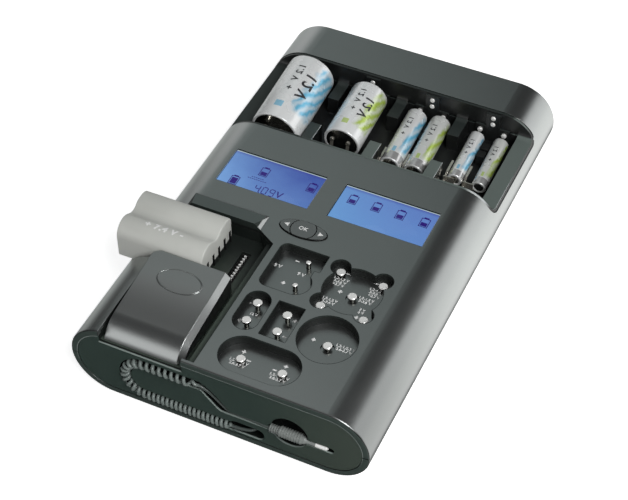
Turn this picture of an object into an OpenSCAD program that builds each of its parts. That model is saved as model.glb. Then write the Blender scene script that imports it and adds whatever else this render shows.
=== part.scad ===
// Multi-bay battery charger and tester, in millimetres.
// X runs across the housing, +Y runs to the back, where the cell bay is, and Z = 0 is the table.
// The housing is a flat tube with round sides, in two shells, with a loose panel in each end.

/* [Housing] */
// Width across the round sides
body_w = 197; // [190:1:215]
// Length from front to back
body_l = 315; // [310:1:335]
// Height without the feet
body_h = 54; // [52:1:60]
// Wall of both shells
wall = 3; // [2.4:0.1:3.2]
// Width of the rim around each end panel
rim_w = 4.5; // [4:0.1:6]
// Depth of that rim
rim_d = 4; // [3.5:0.5:5]
// Rounding of the edge at each end
end_r = 1.2; // [0.6:0.1:2]
// Height of the shadow groove along the seam
seam_h = 0.7; // [0.4:0.1:1]
// Clearance of an end panel in its rim
panel_gap = 0.25; // [0.15:0.05:0.4]
// How far the feet stand below the housing
foot_proud = 1.5; // [1:0.5:4]
// Radius of a foot
foot_r = 8; // [6:0.5:10]

/* [Cell bay] */
// Front edge of the bay, behind the middle of the housing
bay_front = 44.7; // [42:0.5:46]
// Length of the bay, front to back
bay_l = 79.8; // [79:0.5:82]
// Depth of the ledge under the deck
ledge_drop = 14.6; // [12:0.2:16]
// Fillet at the foot of the bay's end walls
bay_fillet = 5; // [4:0.5:7]
// Thickness of the bay liner
liner_t = 1.7; // [1.4:0.1:2]
// Gap between the liner and the shell
liner_gap = 0.3; // [0.2:0.1:0.5]
// Distance between two slots
slot_pitch = 44.1; // [43:0.1:46]
// Width of a slot
slot_w = 36; // [35:0.2:37]
// Depth of the slot floor under the deck, at floor_ref
slot_drop = 30; // [28:0.5:32]
// Rise of the slot floor towards the back, in degrees
slot_tilt = 5.2; // [3:0.1:6]
// Length of the partition tabs at the front
tab_l = 31.3; // [24:0.5:34]
// Length of the partition blocks at the back
block_l = 20.5; // [16:0.5:24]

/* [Cells] */
// Radius of the D cell
d_cell_r = 17.1; // [16.5:0.1:17.2]
// Length of the D cell
d_cell_l = 61.5; // [60:0.5:61.5]
// Radius of the C cell
c_cell_r = 13.1; // [12.5:0.1:13.3]
// Length of the C cell
c_cell_l = 50; // [48:0.5:50]
// Radius of the AA cells
aa_cell_r = 7.2; // [7:0.1:7.3]
// Length of the AA cells
aa_cell_l = 50.5; // [49:0.5:50.5]
// Radius of the AAA cells
aaa_cell_r = 5.2; // [5:0.1:5.3]
// Length of the AAA cells
aaa_cell_l = 44.5; // [43:0.5:44.5]
// Distance of each small cell from the middle of its slot
pair_x = 8.6; // [8.4:0.1:9]

/* [Displays and keys] */
// Width of a display window
lcd_w = 64.5; // [60:0.5:68]
// Length of a display window, front to back
lcd_l = 31.2; // [28:0.2:33]
// Distance between the middles of the two windows
lcd_pitch = 78.6; // [76:0.2:80]
// Thickness of a window
window_t = 1.2; // [1:0.1:1.5]
// Width of the oval key pad
pad_w = 32.5; // [30:0.5:35]
// Length of the oval key pad, front to back
pad_l = 14.5; // [13:0.5:15.5]
// Travel of a key
key_travel = 0.8; // [0.5:0.1:1]
// Height of the keys above the deck
key_proud = 0.9; // [0.9:0.1:1.4]

/* [Camera battery bay] */
// Depth of the bay floor under the deck
module_drop = 12; // [11:0.5:13]
// Width of the clamp slider
slider_w = 52; // [48:0.5:53]
// Height of the slider above the deck
slider_proud = 6; // [5:0.5:8]
// Fall of the slider's top towards the front, in degrees
slider_fall = 7; // [5:0.5:8]
// Travel of the slider towards the front
slider_travel = 20; // [15:1:22]
// Length of the camera battery across the housing
module_w = 56; // [52:0.5:58]
// Length of the camera battery, front to back
module_l = 39.5; // [38:0.5:39.5]
// Height of the camera battery
module_h = 24.5; // [22:0.5:26]

/* [Test recesses] */
// Depth of the recesses
pit_drop = 7; // [6:0.5:7.5]
// Wall around each recess, under the deck
pit_wall = 2; // [1.5:0.1:2.2]
// Radius of a stud's head
stud_r = 2.9; // [2.4:0.1:3]
// Height of the low studs
stud_low = 3; // [2.5:0.5:4]
// Height of the tall studs
stud_tall = 6; // [5:0.5:6.5]

/* [Curly cord and probe] */
// Outer diameter of the curly cord
coil_d = 6.5; // [6:0.1:7]
// Diameter of the cord itself
cord_d = 2.1; // [1.8:0.1:2.2]
// Diameter of the probe's grip
grip_d = 7; // [6.5:0.1:7.4]
// Length of the probe's grip
grip_l = 15.2; // [14:0.5:17]
// Diameter of the probe's tip
tip_d = 3.2; // [3:0.1:3.6]
// Length of the probe's tip
tip_l = 8; // [7:0.5:9]

/* [Hidden] */
big = 600;
eps = 0.01;

// Size of the housing that the layout of its face was drawn at
width_drawn = 197;
length_drawn = 315;
wide = body_w / width_drawn;
longer = (body_l - length_drawn) / 2;

// Levels and planes of the housing
side_r = body_h / 2;
flat_half = body_w / 2 - side_r;
mid_z = foot_proud + side_r;
deck_z = foot_proud + body_h;
floor_z = foot_proud + wall;
front_y = -body_l / 2;
rear_y = body_l / 2;

// Planes of the front panel: its face, and the back of its flange
seat_gap = 0.05;
panel_flange_t = 2;
panel_sink = 0.3;
panel_lid = 2.2;
panel_y = front_y + panel_sink;
panel_back = panel_y + rim_d + seat_gap + panel_flange_t;

// Cell bay: it keeps its distance from the rear end, and the liner fills the cut in the shell
bay_start = bay_front + longer;
bay_rear = bay_start + bay_l;
ledge_z = deck_z - ledge_drop;
bay_cut_z = ledge_z - liner_t - liner_gap;
slot_front = bay_start + liner_gap + liner_t;
slot_rear = bay_rear - liner_gap - liner_t;
floor_ref = bay_start + 35.3;
tub_t = 2.2;
slot_x = [for (i = [-1.5 : 1 : 1.5]) i * slot_pitch * wide];
slot_outer = slot_x[3] + slot_w / 2;
shoulder_y = slot_rear - 4.4;
boss_y = slot_rear - 1.3;
cell_gap = 0.1;
big_button = 1.5;
small_button = 1;
flange_inset = 0.4;

// Displays
lcd_mid_x = -1.8;
lcd_y = 2.2;
display_w = lcd_w * wide;
lcd_x = [lcd_mid_x - lcd_pitch * wide / 2, lcd_mid_x + lcd_pitch * wide / 2];
window_gap = 0.15;
window_sink = 0.15;
window_lip = 2;
lcd_t = 3;
lcd_edge = 1;
board_t = 1.6;

// Key pad
pad_x = -2.6;
pad_y = -31.5;
key_gap = 0.35;
ok_r = 8.4;
pad_floor_drop = 9;
mat_t = 1.2;
key_rest = 0.2;

// Camera battery bay and its clamp
module_floor = deck_z - module_drop;
module_right = -14.5;
module_front = front_y + panel_sink + panel_lid;
slider_right = -24;
slider_left = slider_right - slider_w;
channel_gap = 1.8;
channel_left = slider_left - channel_gap;
notch_front = front_y + 66.5;
slider_back = front_y + 68.7;
module_back = slider_back + module_l + 0.3;
module_right_end = -47.5;
bar_rear = front_y + 127.9;
bar_front = front_y + 114.9;
bar_left = -79;
bar_right = -27;
bar_proud = 4;
rail_x = -20;
rail_drop = 5;
hook_r = 20;
hook_t = 2.5;
hook_y = front_y + 1 + hook_r;
roll_y = hook_y - hook_r * sin(slider_fall);
roll_z = deck_z + slider_proud - (slider_back - roll_y) * tan(slider_fall);
hook_z = roll_z - hook_r * cos(slider_fall);
lip_drop = 10.5;
lip_t = 1.5;
slide_gap = 0.3;
lip_back = panel_back + pit_wall + 0.4;
hook_end_drop = lip_drop - slide_gap;
edge_chamfer = 3.5;
oval_r = [15, 8.6];
oval_back = 17;
oval_proud = 0.35;
lug_back = hook_y - 4.5;
lug_w = 6.4;
lug_t = 2;
lug_drop = 5.5;
spring_z = module_floor + 3.6;
slider_t = 2.5;
cheek_t = 4.5;
skirt_t = 2.5;
spring_x = [slider_left + 14, slider_left + 34];
spring_r = 2.6;
spring_wire = 0.9;
spring_turns = 9;
rib_y = slider_back - 6;
pin_x = -31;
pin_y = front_y + 90;
pin_pitch = 2.6;
pin_count = 9;

// Test recesses
pit_z = deck_z - pit_drop;
stud_neck_r = 1.4;
test_board_z = pit_z - pit_wall;
lobe_x = [31.7, 60];
lobe_y = [front_y + 77.2, front_y + 107.2];
lobe_mid = [46.2, front_y + 91.9];
lobe_r = 6.3;
lobe_mid_r = 18.8;
round_pit = [48.5, front_y + 51.1];
round_pit_r = 18.5;
round_stud = [48.9, front_y + 50.2];
nine_volt_x = [-9.4, 21.9];
nine_volt_y = [front_y + 74.2, front_y + 112];
nine_volt_corner = 5;
nine_volt_mid = [12, front_y + 84.1];
nine_volt_mid_r = 9.9;
nine_volt_neck_x = 18.3;
nine_volt_neck_y = [front_y + 89, front_y + 97.5];
slot_pit_x = -2.1;
slot_pit_y = [front_y + 37, front_y + 69.2];
slot_pit_r = 8.1;
square_pit_x = [9.6, 26.9];
square_pit_y = [front_y + 38.3, front_y + 66.9];
capsule_x = [-6.2, 45.2];
capsule_y = front_y + 19.9;
capsule_r = 13.8;
nine_volt_studs = [[11.3, front_y + 104.1], [11.8, front_y + 83.8]];
lobed_studs = concat([for (x = lobe_x) for (y = lobe_y) [x, y]], [lobe_mid]);
slot_studs = [[-2.2, front_y + 61], [-2.2, front_y + 46]];
square_studs = [[18.3, front_y + 59.5], [18.3, front_y + 45.5]];
capsule_studs = [[7, front_y + 20], [34, front_y + 20.1]];
all_studs = concat(nine_volt_studs, lobed_studs, slot_studs, square_studs, [round_stud], capsule_studs);

// Panels, boards and screws
panel_flange = 1.2;
main_board_z = floor_z + 5;
main_board_x = 57;
main_board_front = front_y + 29;
main_board_rear = rear_y - 14;
post_x = 50;
post_y = [main_board_front + 16, main_board_rear - 20];
screw_x = flat_half - 2.5;
front_screw_y = front_y + 30;
tub_screw = [-screw_x, front_screw_y];
shell_screws = concat([for (x = [-screw_x, screw_x]) for (y = [rear_y - 17, bay_start - 11]) [x, y]],
    [[screw_x, front_screw_y]]);
screw_sites = concat(shell_screws, [tub_screw]);
boss_r = 4.2;
screw_r = 1.6;
screw_head_r = 3;
screw_head_t = 2.2;
head_seat_z = foot_proud + 12;
screw_tip_z = mid_z + 8;
foot_x = flat_half - 1.5;
foot_sites = concat([for (x = [-foot_x, foot_x]) for (y = [front_y + 16, rear_y - 32]) [x, y]], [[0, 0]]);
foot_recess = 1.2;
jack_x = 45;
jack_z = main_board_z + board_t + 5.5;
jack_bore_r = 2.75;

// Cord: the coil lies in a U-shaped groove of the front panel, and the probe lies in its own groove
groove_gap = 0.65;
groove_rest = 0.35;
coil_r = coil_d / 2;
coil_y = front_y + 0.5;
coil_low_z = 11.4;
coil_high_z = 38.4;
coil_bend_x = -48;
coil_low_end_x = 9;
coil_high_end_x = -12;
coil_groove_floor = coil_y + coil_r + groove_rest;
slot_hole_x = 26.4;
slot_hole_r = 4.6;
slot_hole_depth = 9;
probe_z = 22.9;
probe_y = front_y + 1.2;
relief_x = 34.6;
relief_l = 6.2;
neck_l = 8.3;
grip_x = relief_x + relief_l;
neck_x = grip_x + grip_l;
tip_x = neck_x + neck_l;
finger_x = 47.5;
finger_z = 25.5;
finger_r = 12;
finger_depth = 10;
lead_y = front_y + 1.9;
channel_back_t = 2.2;

// Points of the plain cord, chosen by hand as X, depth behind the front face and Z:
// from the grommet to the coil, and from the coil to the probe
root_route = [[24, 8.3, 11.5], [24, 6, 11.5], [23.2, 3.7, 11.5], [20.5, 1.9, 11.5], [16, 0.9, 11.4],
    [12, 0.5, 11.4], [9, 0.5, 11.4]];
lead_route = [[-12, 0.5, 38.4], [-11, 0.5, 38.4], [-9, 0.7, 37.6], [-5, 1.3, 34.8], [-1, 1.7, 30.8], [3, 1.8, 26.8],
    [6.5, 1.8, 24], [11, 1.8, 22.9], [20, 1.6, 22.9], [28, 1.3, 22.9], [34.6, 1.2, 22.9]];
grommet_x = 24;
grommet_z = 11.5;

// Height of the slot floor at a given y
function slot_floor(y) = deck_z - slot_drop + (y - floor_ref) * tan(slot_tilt);

// Points of the U that the coil's middle follows
function coil_path(steps = 16) = concat(
    [for (i = [0 : 5]) [coil_low_end_x + (coil_bend_x - coil_low_end_x) * i / 5, coil_y, coil_low_z]],
    [for (i = [1 : steps - 1]) coil_bend_point(180 * i / steps)],
    [for (i = [0 : 4]) [coil_bend_x + (coil_high_end_x - coil_bend_x) * i / 4, coil_y, coil_high_z]]);
function coil_bend_point(a) = [coil_bend_x - coil_bend_r * sin(a), coil_y, coil_mid_z - coil_bend_r * cos(a)];
coil_bend_r = (coil_high_z - coil_low_z) / 2;
coil_mid_z = (coil_high_z + coil_low_z) / 2;

// Directions along a path, and a frame that needs no twist for routes near one plane
function unit(v) = v / norm(v);
function along(p, i) = unit(p[min(i + 1, len(p) - 1)] - p[max(i - 1, 0)]);
function across(t, up) = unit(cross(t, up));

// A plain tube of radius r and n sides along the points p
module tube(p, r, n = 8, up = [0.1, 1, 0.05]) {
    last = len(p) - 1;
    rings = [for (i = [0 : last])
        let (t = along(p, i), u = across(t, up), v = cross(t, u))
        for (k = [0 : n - 1]) p[i] + r * (cos(360 * k / n) * u + sin(360 * k / n) * v)];
    sides = [for (i = [0 : last - 1]) for (k = [0 : n - 1])
        let (a = i * n + k, b = i * n + (k + 1) % n)
        for (f = [[a, b, b + n], [a, b + n, a + n]]) f];
    caps = [[for (k = [n - 1 : -1 : 0]) k], [for (k = [0 : n - 1]) last * n + k]];
    polyhedron(rings, concat(sides, caps), convexity = 6);
}

// A wire bent into a helix around the +Y axis, from the origin
module helix(length, r, wire, turns, n = 10) {
    steps = turns * n;
    points = [for (i = [0 : steps])
        [r * cos(360 * i / n), length * i / steps, r * sin(360 * i / n)]];
    tube(points, wire, 5, [0, 1, 0]);
}

// Section of the housing, set in from its surface
module stadium(inset = 0) {
    r = side_r - inset;
    square([2 * flat_half, 2 * r], center = true);
    for (s = [-1, 1])
        translate([s * flat_half, 0])
            circle(r = r, $fn = 96);
}

// Prism with that section between two places along Y
module stadium_prism(inset, y0, y1) {
    translate([0, y1, mid_z])
        rotate([90, 0, 0])
            linear_extrude(y1 - y0)
                stadium(inset);
}

// Half of a plate seen from its edge: r wide, l long, its outer corners rounded
module edge_outline(r, l, e) {
    translate([0, -l / 2])
        square([r - e, l]);
    translate([0, -l / 2 + e])
        square([r, l - 2 * e]);
    for (s = [-1, 1])
        translate([r - e, s * (l / 2 - e)])
            circle(r = e, $fn = 32);
}

// Whole outer form of the housing, with its end edges rounded
module housing_form() {
    rotate([90, 0, 90])
        translate([0, mid_z, 0])
            linear_extrude(2 * flat_half, center = true) {
                rotate(90)
                    edge_outline(side_r, body_l, end_r);
                rotate(-90)
                    edge_outline(side_r, body_l, end_r);
            }
    for (s = [-1, 1])
        translate([s * flat_half, 0, mid_z])
            rotate([90, 0, 0])
                rotate_extrude(angle = 180, start = s > 0 ? -90 : 90, $fn = 96)
                    edge_outline(side_r, body_l, end_r);
}

// Tube of the housing: hollow, with a thicker rim at each end
module housing_tube() {
    difference() {
        housing_form();
        stadium_prism(wall, front_y + rim_d, rear_y - rim_d);
        stadium_prism(rim_w, front_y - 1, rear_y + 1);
    }
}

// Block that keeps what lies above z0 and below z1
module slab(z0, z1) {
    translate([-big / 2, -big / 2, z0])
        cube([big, big, z1 - z0]);
}

// Box between two corners
module span(a, b) {
    translate(a)
        cube(b - a);
}

// Outline of the cell bay from the side, grown outwards
module bay_outline(grow = 0) {
    f = bay_fillet + grow;
    y0 = slot_front - grow;
    y1 = slot_rear + grow;
    z0 = ledge_z - grow;
    translate([y0 + f, z0])
        square([y1 - y0 - 2 * f, body_h]);
    translate([y0, z0 + f])
        square([y1 - y0, body_h]);
    for (y = [y0 + f, y1 - f])
        translate([y, z0 + f])
            circle(r = f, $fn = 48);
}

// Bar along X with a side outline
module across_bar(x0, x1) {
    translate([x0, 0, 0])
        rotate([90, 0, 90])
            linear_extrude(x1 - x0)
                children();
}

// Outlines of the test recesses in plan, grown by their wall.
// The nine volt recess: round corners on the left, a wide end at the back and a round one in front
module nine_volt_outline(grow = 0) {
    r = nine_volt_corner + grow;
    x0 = nine_volt_x[0] - grow;
    y0 = nine_volt_y[0] - grow;
    y1 = nine_volt_y[1] + grow;
    middle = nine_volt_mid[0];
    translate([x0, y0 + r])
        square([middle - x0, y1 - y0 - 2 * r]);
    translate([x0 + r, y0])
        square([middle - x0 - r, y1 - y0]);
    for (y = [y0 + r, y1 - r])
        translate([x0 + r, y])
            circle(r = r, $fn = 32);
    translate(nine_volt_mid)
        circle(r = nine_volt_mid_r + grow, $fn = 64);
    grown_box([middle, nine_volt_neck_x], nine_volt_neck_y, grow);
    grown_box([middle, nine_volt_x[1]], [nine_volt_neck_y[1], nine_volt_y[1]], grow);
}

module lobed_outline(grow = 0) {
    for (x = lobe_x)
        for (y = lobe_y)
            translate([x, y])
                circle(r = lobe_r + grow, $fn = 48);
    translate(lobe_mid)
        circle(r = lobe_mid_r + grow, $fn = 72);
}

module slot_pit_outline(grow = 0) {
    upright_slot(slot_pit_x, slot_pit_y[0], slot_pit_y[1], slot_pit_r + grow, grow);
}

module square_pit_outline(grow = 0) {
    grown_box(square_pit_x, square_pit_y, grow);
}

module round_pit_outline(grow = 0) {
    translate(round_pit)
        circle(r = round_pit_r + grow, $fn = 72);
}

module capsule_outline(grow = 0) {
    x = [capsule_x[0] + capsule_r, capsule_x[1] - capsule_r];
    translate([x[0], capsule_y - capsule_r - grow])
        square([x[1] - x[0], 2 * (capsule_r + grow)]);
    for (middle = x)
        translate([middle, capsule_y])
            circle(r = capsule_r + grow, $fn = 64);
}

// Rectangle between two places along X and two along Y, grown outwards
module grown_box(x, y, grow) {
    translate([x[0] - grow, y[0] - grow])
        square([x[1] - x[0] + 2 * grow, y[1] - y[0] + 2 * grow]);
}

// Slot with round ends along Y, r wide to each side
module upright_slot(x, y0, y1, r, grow) {
    translate([x - r, y0 + r - grow])
        square([2 * r, y1 - y0 - 2 * (r - grow)]);
    for (y = [y0 + r - grow, y1 - r + grow])
        translate([x, y])
            circle(r = r, $fn = 48);
}

module all_pits(grow) {
    nine_volt_outline(grow);
    lobed_outline(grow);
    slot_pit_outline(grow);
    square_pit_outline(grow);
    round_pit_outline(grow);
    capsule_outline(grow);
}

// Plan of the camera battery bay, right of the notch in the round side
module module_bay_outline(grow = 0) {
    polygon([[channel_left - grow, module_front], [module_right + grow, module_front],
        [module_right + grow, bar_front - 7.4 + grow / 2], [bar_right + grow / 2, bar_front + grow],
        [channel_left - grow, bar_front + grow]]);
}

// Oval of the key pad
module pad_oval(inset = 0) {
    polygon([for (a = [0 : 7.5 : 352.5])
        [(pad_w / 2 - inset) * cos(a), (pad_l / 2 - inset) * sin(a)]]);
}

// Raised bar behind the camera battery, with sloped ends
module back_bar() {
    difference() {
        across_bar(bar_left, bar_right)
            polygon([[bar_rear, deck_z - eps], [bar_front, deck_z + bar_proud],
                [bar_front, deck_z - wall], [bar_rear, deck_z - wall]]);
        for (s = [-1, 1])
            translate([s > 0 ? bar_right : bar_left, 0, deck_z])
                rotate([0, s * 45, 0])
                    translate([-big / 2, -big / 2, 0])
                        cube([big, big, big]);
    }
}

module upper_shell() {
    color([0.30, 0.32, 0.33])
        difference() {
            union() {
                intersection() {
                    housing_tube();
                    slab(mid_z, big);
                }
                back_bar();
                key_cup();
                screw_bosses();
            }
            across_bar(-big / 2, big / 2)
                bay_outline(liner_t + liner_gap);
            display_cuts();
            key_cut();
            module_cuts();
            pit_cuts();
            boss_bores();
        }
}

// Cup under the deck that the key pad sinks into
module key_cup() {
    translate([pad_x, pad_y, deck_z - pad_floor_drop - pit_wall])
        linear_extrude(pad_floor_drop + pit_wall - 1)
            pad_oval(-pit_wall);
}

// Room inside the upper shell for the tubs, from the back of the front panel
module shell_room() {
    stadium_prism(wall, front_y + rim_d, rear_y - rim_d);
    stadium_prism(rim_w, module_front + 0.3, front_y + rim_d + 1);
}

// Walls and floors of the test recesses, a tub that hangs under the deck
module recess_tub() {
    color([0.28, 0.30, 0.31])
        difference() {
            intersection() {
                shell_room();
                translate([0, 0, pit_z - pit_wall])
                    linear_extrude(deck_z - wall - pit_z + pit_wall)
                        all_pits(pit_wall);
            }
            pit_cuts();
        }
}

// Walls, floor, rail, front lip and spring lugs of the camera battery bay, a second tub
module camera_tub() {
    color([0.28, 0.30, 0.31])
        difference() {
            union() {
                intersection() {
                    shell_room();
                    slab(module_floor - pit_wall, deck_z - wall);
                    camera_tub_plan();
                }
                translate([tub_screw[0], tub_screw[1], mid_z])
                    cylinder(r = boss_r, h = module_floor - pit_wall / 2 - mid_z, $fn = 32);
            }
            module_cuts();
            boss_bores();
        }
}

// The tub seen from above, with a shallow part over the front panel's flange
module camera_tub_plan() {
    difference() {
        linear_extrude(deck_z)
            module_bay_outline(pit_wall);
        span([-big / 2, -big, -big], [0, lip_back - pit_wall, deck_z - lip_drop - lip_t]);
    }
    span([-body_w / 2, notch_front - pit_wall, 0], [channel_left + 1, bar_front + pit_wall, deck_z]);
}

module display_cuts() {
    for (x = lcd_x) {
        translate([x - display_w / 2 - window_gap, lcd_y - lcd_l / 2 - window_gap, deck_z - window_t - window_sink])
            cube([display_w + 2 * window_gap, lcd_l + 2 * window_gap, big]);
        translate([x - display_w / 2 + window_lip, lcd_y - lcd_l / 2 + window_lip, deck_z - wall - 1])
            cube([display_w - 2 * window_lip, lcd_l - 2 * window_lip, big]);
        translate([x - display_w / 2 - lcd_edge - 0.2, lcd_y - lcd_l / 2 - lcd_edge - 0.2, deck_z - wall - lcd_t - 1])
            cube([display_w + 2 * lcd_edge + 0.4, lcd_l + 2 * lcd_edge + 0.4, lcd_t + 1]);
    }
}

module key_cut() {
    translate([pad_x, pad_y, deck_z - pad_floor_drop])
        linear_extrude(big)
            pad_oval();
}

// Bay for the camera battery, its notch in the round side and the channel of the clamp
module module_cuts() {
    difference() {
        translate([0, 0, module_floor])
            linear_extrude(big)
                module_bay_outline();
        span([rail_x, front_y, module_floor - 1], [module_right + 1, bar_front, deck_z - rail_drop]);
        span([channel_left - 1, front_y, module_floor - 1], [rail_x, lip_back, deck_z - lip_drop]);
        span([bar_left - 1, bar_front, module_floor - 1], [0, bar_rear, big]);
        for (x = spring_x)
            span([x - lug_w / 2, lug_back - lug_t, module_floor - 1], [x + lug_w / 2, lug_back, deck_z - lug_drop]);
    }
    span([-big / 2, notch_front, module_floor], [channel_left + 1, bar_front, big]);
    span([channel_left, front_y - 1, deck_z - lip_drop], [slider_right + channel_gap, lip_back + 1, big]);
    span([pin_x - 3, pin_y - 13.5, module_floor - 3.5], [pin_x + 3, pin_y + 13.5, module_floor + 1]);
}

module pit_cuts() {
    translate([0, 0, pit_z])
        linear_extrude(big)
            all_pits(0);
    for (p = [lobe_mid, round_stud])
        translate([p[0], p[1], pit_z - 1])
            cylinder(r = 4.3, h = big, $fn = 48);
    for (p = all_studs)
        translate([p[0], p[1], pit_z - pit_wall - 1])
            cylinder(r = stud_neck_r + 0.2, h = pit_wall + 2, $fn = 24);
}

// Posts of the case screws, from the deck down to the seam
module screw_bosses() {
    intersection() {
        stadium_prism(wall / 2, front_y, rear_y);
        for (p = shell_screws)
            translate([p[0], p[1], mid_z])
                cylinder(r = boss_r, h = body_h, $fn = 32);
    }
}

module boss_bores() {
    for (p = screw_sites)
        translate([p[0], p[1], mid_z - 1])
            cylinder(r = screw_r, h = screw_tip_z - mid_z + 2, $fn = 24);
}

module lower_shell() {
    color([0.27, 0.29, 0.30])
        difference() {
            union() {
                intersection() {
                    housing_tube();
                    slab(-big, mid_z);
                }
                for (p = screw_sites)
                    translate([p[0], p[1], foot_proud + wall / 2])
                        cylinder(r = boss_r, h = mid_z - foot_proud - wall / 2, $fn = 32);
                for (x = [-post_x, post_x])
                    for (y = post_y)
                        translate([x, y, foot_proud + wall / 2])
                            cylinder(r = 3.5, h = main_board_z - foot_proud - wall / 2, $fn = 32);
            }
            for (p = screw_sites) {
                translate([p[0], p[1], 0])
                    cylinder(r = screw_head_r + 0.3, h = head_seat_z, $fn = 32);
                translate([p[0], p[1], 0])
                    cylinder(r = screw_r + 0.2, h = body_h, $fn = 24);
            }
            for (x = [-post_x, post_x])
                for (y = post_y)
                    translate([x, y, floor_z])
                        cylinder(r = 1.1, h = body_h, $fn = 24);
            for (p = foot_sites)
                translate([p[0], p[1], 0])
                    cylinder(r = foot_r + 0.1, h = foot_proud + foot_recess, $fn = 48);
            seam_groove();
        }
}

// Fine shadow line just under the seam
module seam_groove() {
    for (s = [-1, 1]) {
        span([s * (body_w / 2) - 0.4, -big / 2, mid_z - seam_h], [s * (body_w / 2) + 0.4, big / 2, mid_z + 1]);
        span([-big / 2, s * (body_l / 2) - 0.4, mid_z - seam_h], [big / 2, s * (body_l / 2) + 0.4, mid_z + 1]);
    }
}

// Plain end panel: a plate inside the rim and a flange behind the rim
module end_panel(outer_y, inward) {
    y0 = min(outer_y, outer_y + inward * (rim_d + seat_gap));
    y1 = max(outer_y, outer_y + inward * (rim_d + seat_gap));
    stadium_prism(rim_w + panel_gap, y0, y1);
    f0 = outer_y + inward * (rim_d + seat_gap);
    f1 = f0 + inward * panel_flange_t;
    stadium_prism(rim_w - panel_flange, min(f0, f1), max(f0, f1));
}

// Groove along the coil's U, from the face inwards
module coil_groove(r, y0, y1) {
    translate([0, y1, 0])
        rotate([90, 0, 0])
            linear_extrude(y1 - y0)
                coil_groove_outline(r);
}

module coil_groove_outline(r) {
    translate([coil_bend_x, coil_low_z - r])
        square([slot_hole_x - 16 - coil_bend_x, 2 * r]);
    translate([coil_bend_x, coil_high_z - r])
        square([coil_high_end_x - coil_bend_x, 2 * r]);
    translate([coil_high_end_x, coil_high_z])
        circle(r = r, $fn = 32);
    translate([coil_bend_x, coil_mid_z])
        difference() {
            circle(r = coil_bend_r + r, $fn = 72);
            circle(r = coil_bend_r - r, $fn = 72);
            translate([0, -big / 2])
                square(big);
        }
}

// Round-ended hole where the cord comes out
module exit_hole(r, y0, y1) {
    x0 = slot_hole_x - 14;
    translate([0, y1, 0])
        rotate([90, 0, 0])
            linear_extrude(y1 - y0) {
                translate([x0, 12.4 - r])
                    square([slot_hole_x - x0, 2 * r]);
                for (x = [x0, slot_hole_x])
                    translate([x, 12.4])
                        circle(r = r, $fn = 48);
            }
}

// Groove for the straight cord: wide where the coil ends, then narrow up to the probe
module lead_groove(y0, y1) {
    x = coil_high_end_x;
    w = cord_d / 2 + 0.45;
    translate([0, y1, 0])
        rotate([90, 0, 0])
            linear_extrude(y1 - y0)
                polygon([[x, coil_high_z + 3], [x + 5, coil_high_z + 2], [x + 11, coil_high_z - 3], [9, probe_z + w],
                    [relief_x + 1, probe_z + w], [relief_x + 1, probe_z - w], [3, probe_z - w],
                    [0, probe_z + 0.4], [x, coil_high_z - 2]]);
}

module probe_groove(grow, y0, y1) {
    r = grip_d / 2 + 0.4 + grow;
    translate([0, y1, 0])
        rotate([90, 0, 0])
            linear_extrude(y1 - y0) {
                translate([relief_x - 1 - grow, probe_z - r])
                    square([neck_x + 1 - relief_x + 2 * grow, 2 * r]);
                translate([neck_x, probe_z - 2.4 - grow])
                    square([tip_x + tip_l + 1.6 - neck_x, 2 * (2.4 + grow)]);
                translate([tip_x + tip_l + 1.6, probe_z])
                    circle(r = 2.4 + grow, $fn = 32);
            }
}

module finger_pit(grow, y0, y1) {
    translate([finger_x, y1, finger_z])
        rotate([90, 0, 0])
            cylinder(r = finger_r + grow, h = y1 - y0, $fn = 64);
}

// Flat strip of width t along a list of points, with mitred corners
module bent_strip(p, t) {
    last = len(p) - 1;
    polygon(concat([for (i = [0 : last]) mitre(p, i, t / 2)], [for (i = [last : -1 : 0]) mitre(p, i, -t / 2)]));
}

// Place beside point i of a path, d to its left
function mitre(p, i, d) =
    let (a = i > 0 ? unit(p[i] - p[i - 1]) : unit(p[1] - p[0]),
        b = i < len(p) - 1 ? unit(p[i + 1] - p[i]) : a,
        n = unit([-a[1] - b[1], a[0] + b[0]]))
    p[i] + n * d / (n * [-a[1], a[0]]);

module front_panel() {
    face = front_y - 1;
    back = channel_back_t;
    groove_floor = coil_groove_floor;
    lead_floor = lead_y + cord_d / 2 + 0.5;
    probe_floor = probe_y + grip_d / 2 + 0.35;
    color([0.20, 0.23, 0.22])
        difference() {
            union() {
                end_panel(panel_y, 1);
                intersection() {
                    stadium_prism(rim_w + panel_gap + 1, panel_y, front_y + 20);
                    union() {
                        exit_hole(slot_hole_r + back, panel_y, panel_y + slot_hole_depth + back);
                        probe_groove(back, panel_y, probe_floor + back);
                        finger_pit(back, panel_y, panel_y + finger_depth + back);
                    }
                }
            }
            coil_groove(coil_r + groove_gap, face, groove_floor);
            exit_hole(slot_hole_r, face, panel_y + slot_hole_depth);
            lead_groove(face, lead_floor);
            probe_groove(0, face, probe_floor);
            finger_pit(0, face, panel_y + finger_depth);
            span([channel_left - 0.2, face - 1, deck_z - lip_drop],
                [slider_right + channel_gap + 0.2, big, big]);
            span([channel_left - pit_wall - 0.3, module_front, deck_z - lip_drop - lip_t - 0.3],
                [48, big, big]);
            translate([grommet_x, panel_y + slot_hole_depth - 1, grommet_z])
                rotate([-90, 0, 0])
                    cylinder(r = 2.2, h = 6, $fn = 32);
        }
}

module rear_panel() {
    color([0.20, 0.22, 0.22])
        difference() {
            end_panel(rear_y - panel_sink, -1);
            translate([jack_x, rear_y + 1, jack_z])
                rotate([90, 0, 0])
                    cylinder(r = 4.2, h = 20, $fn = 48);
        }
}

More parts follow.
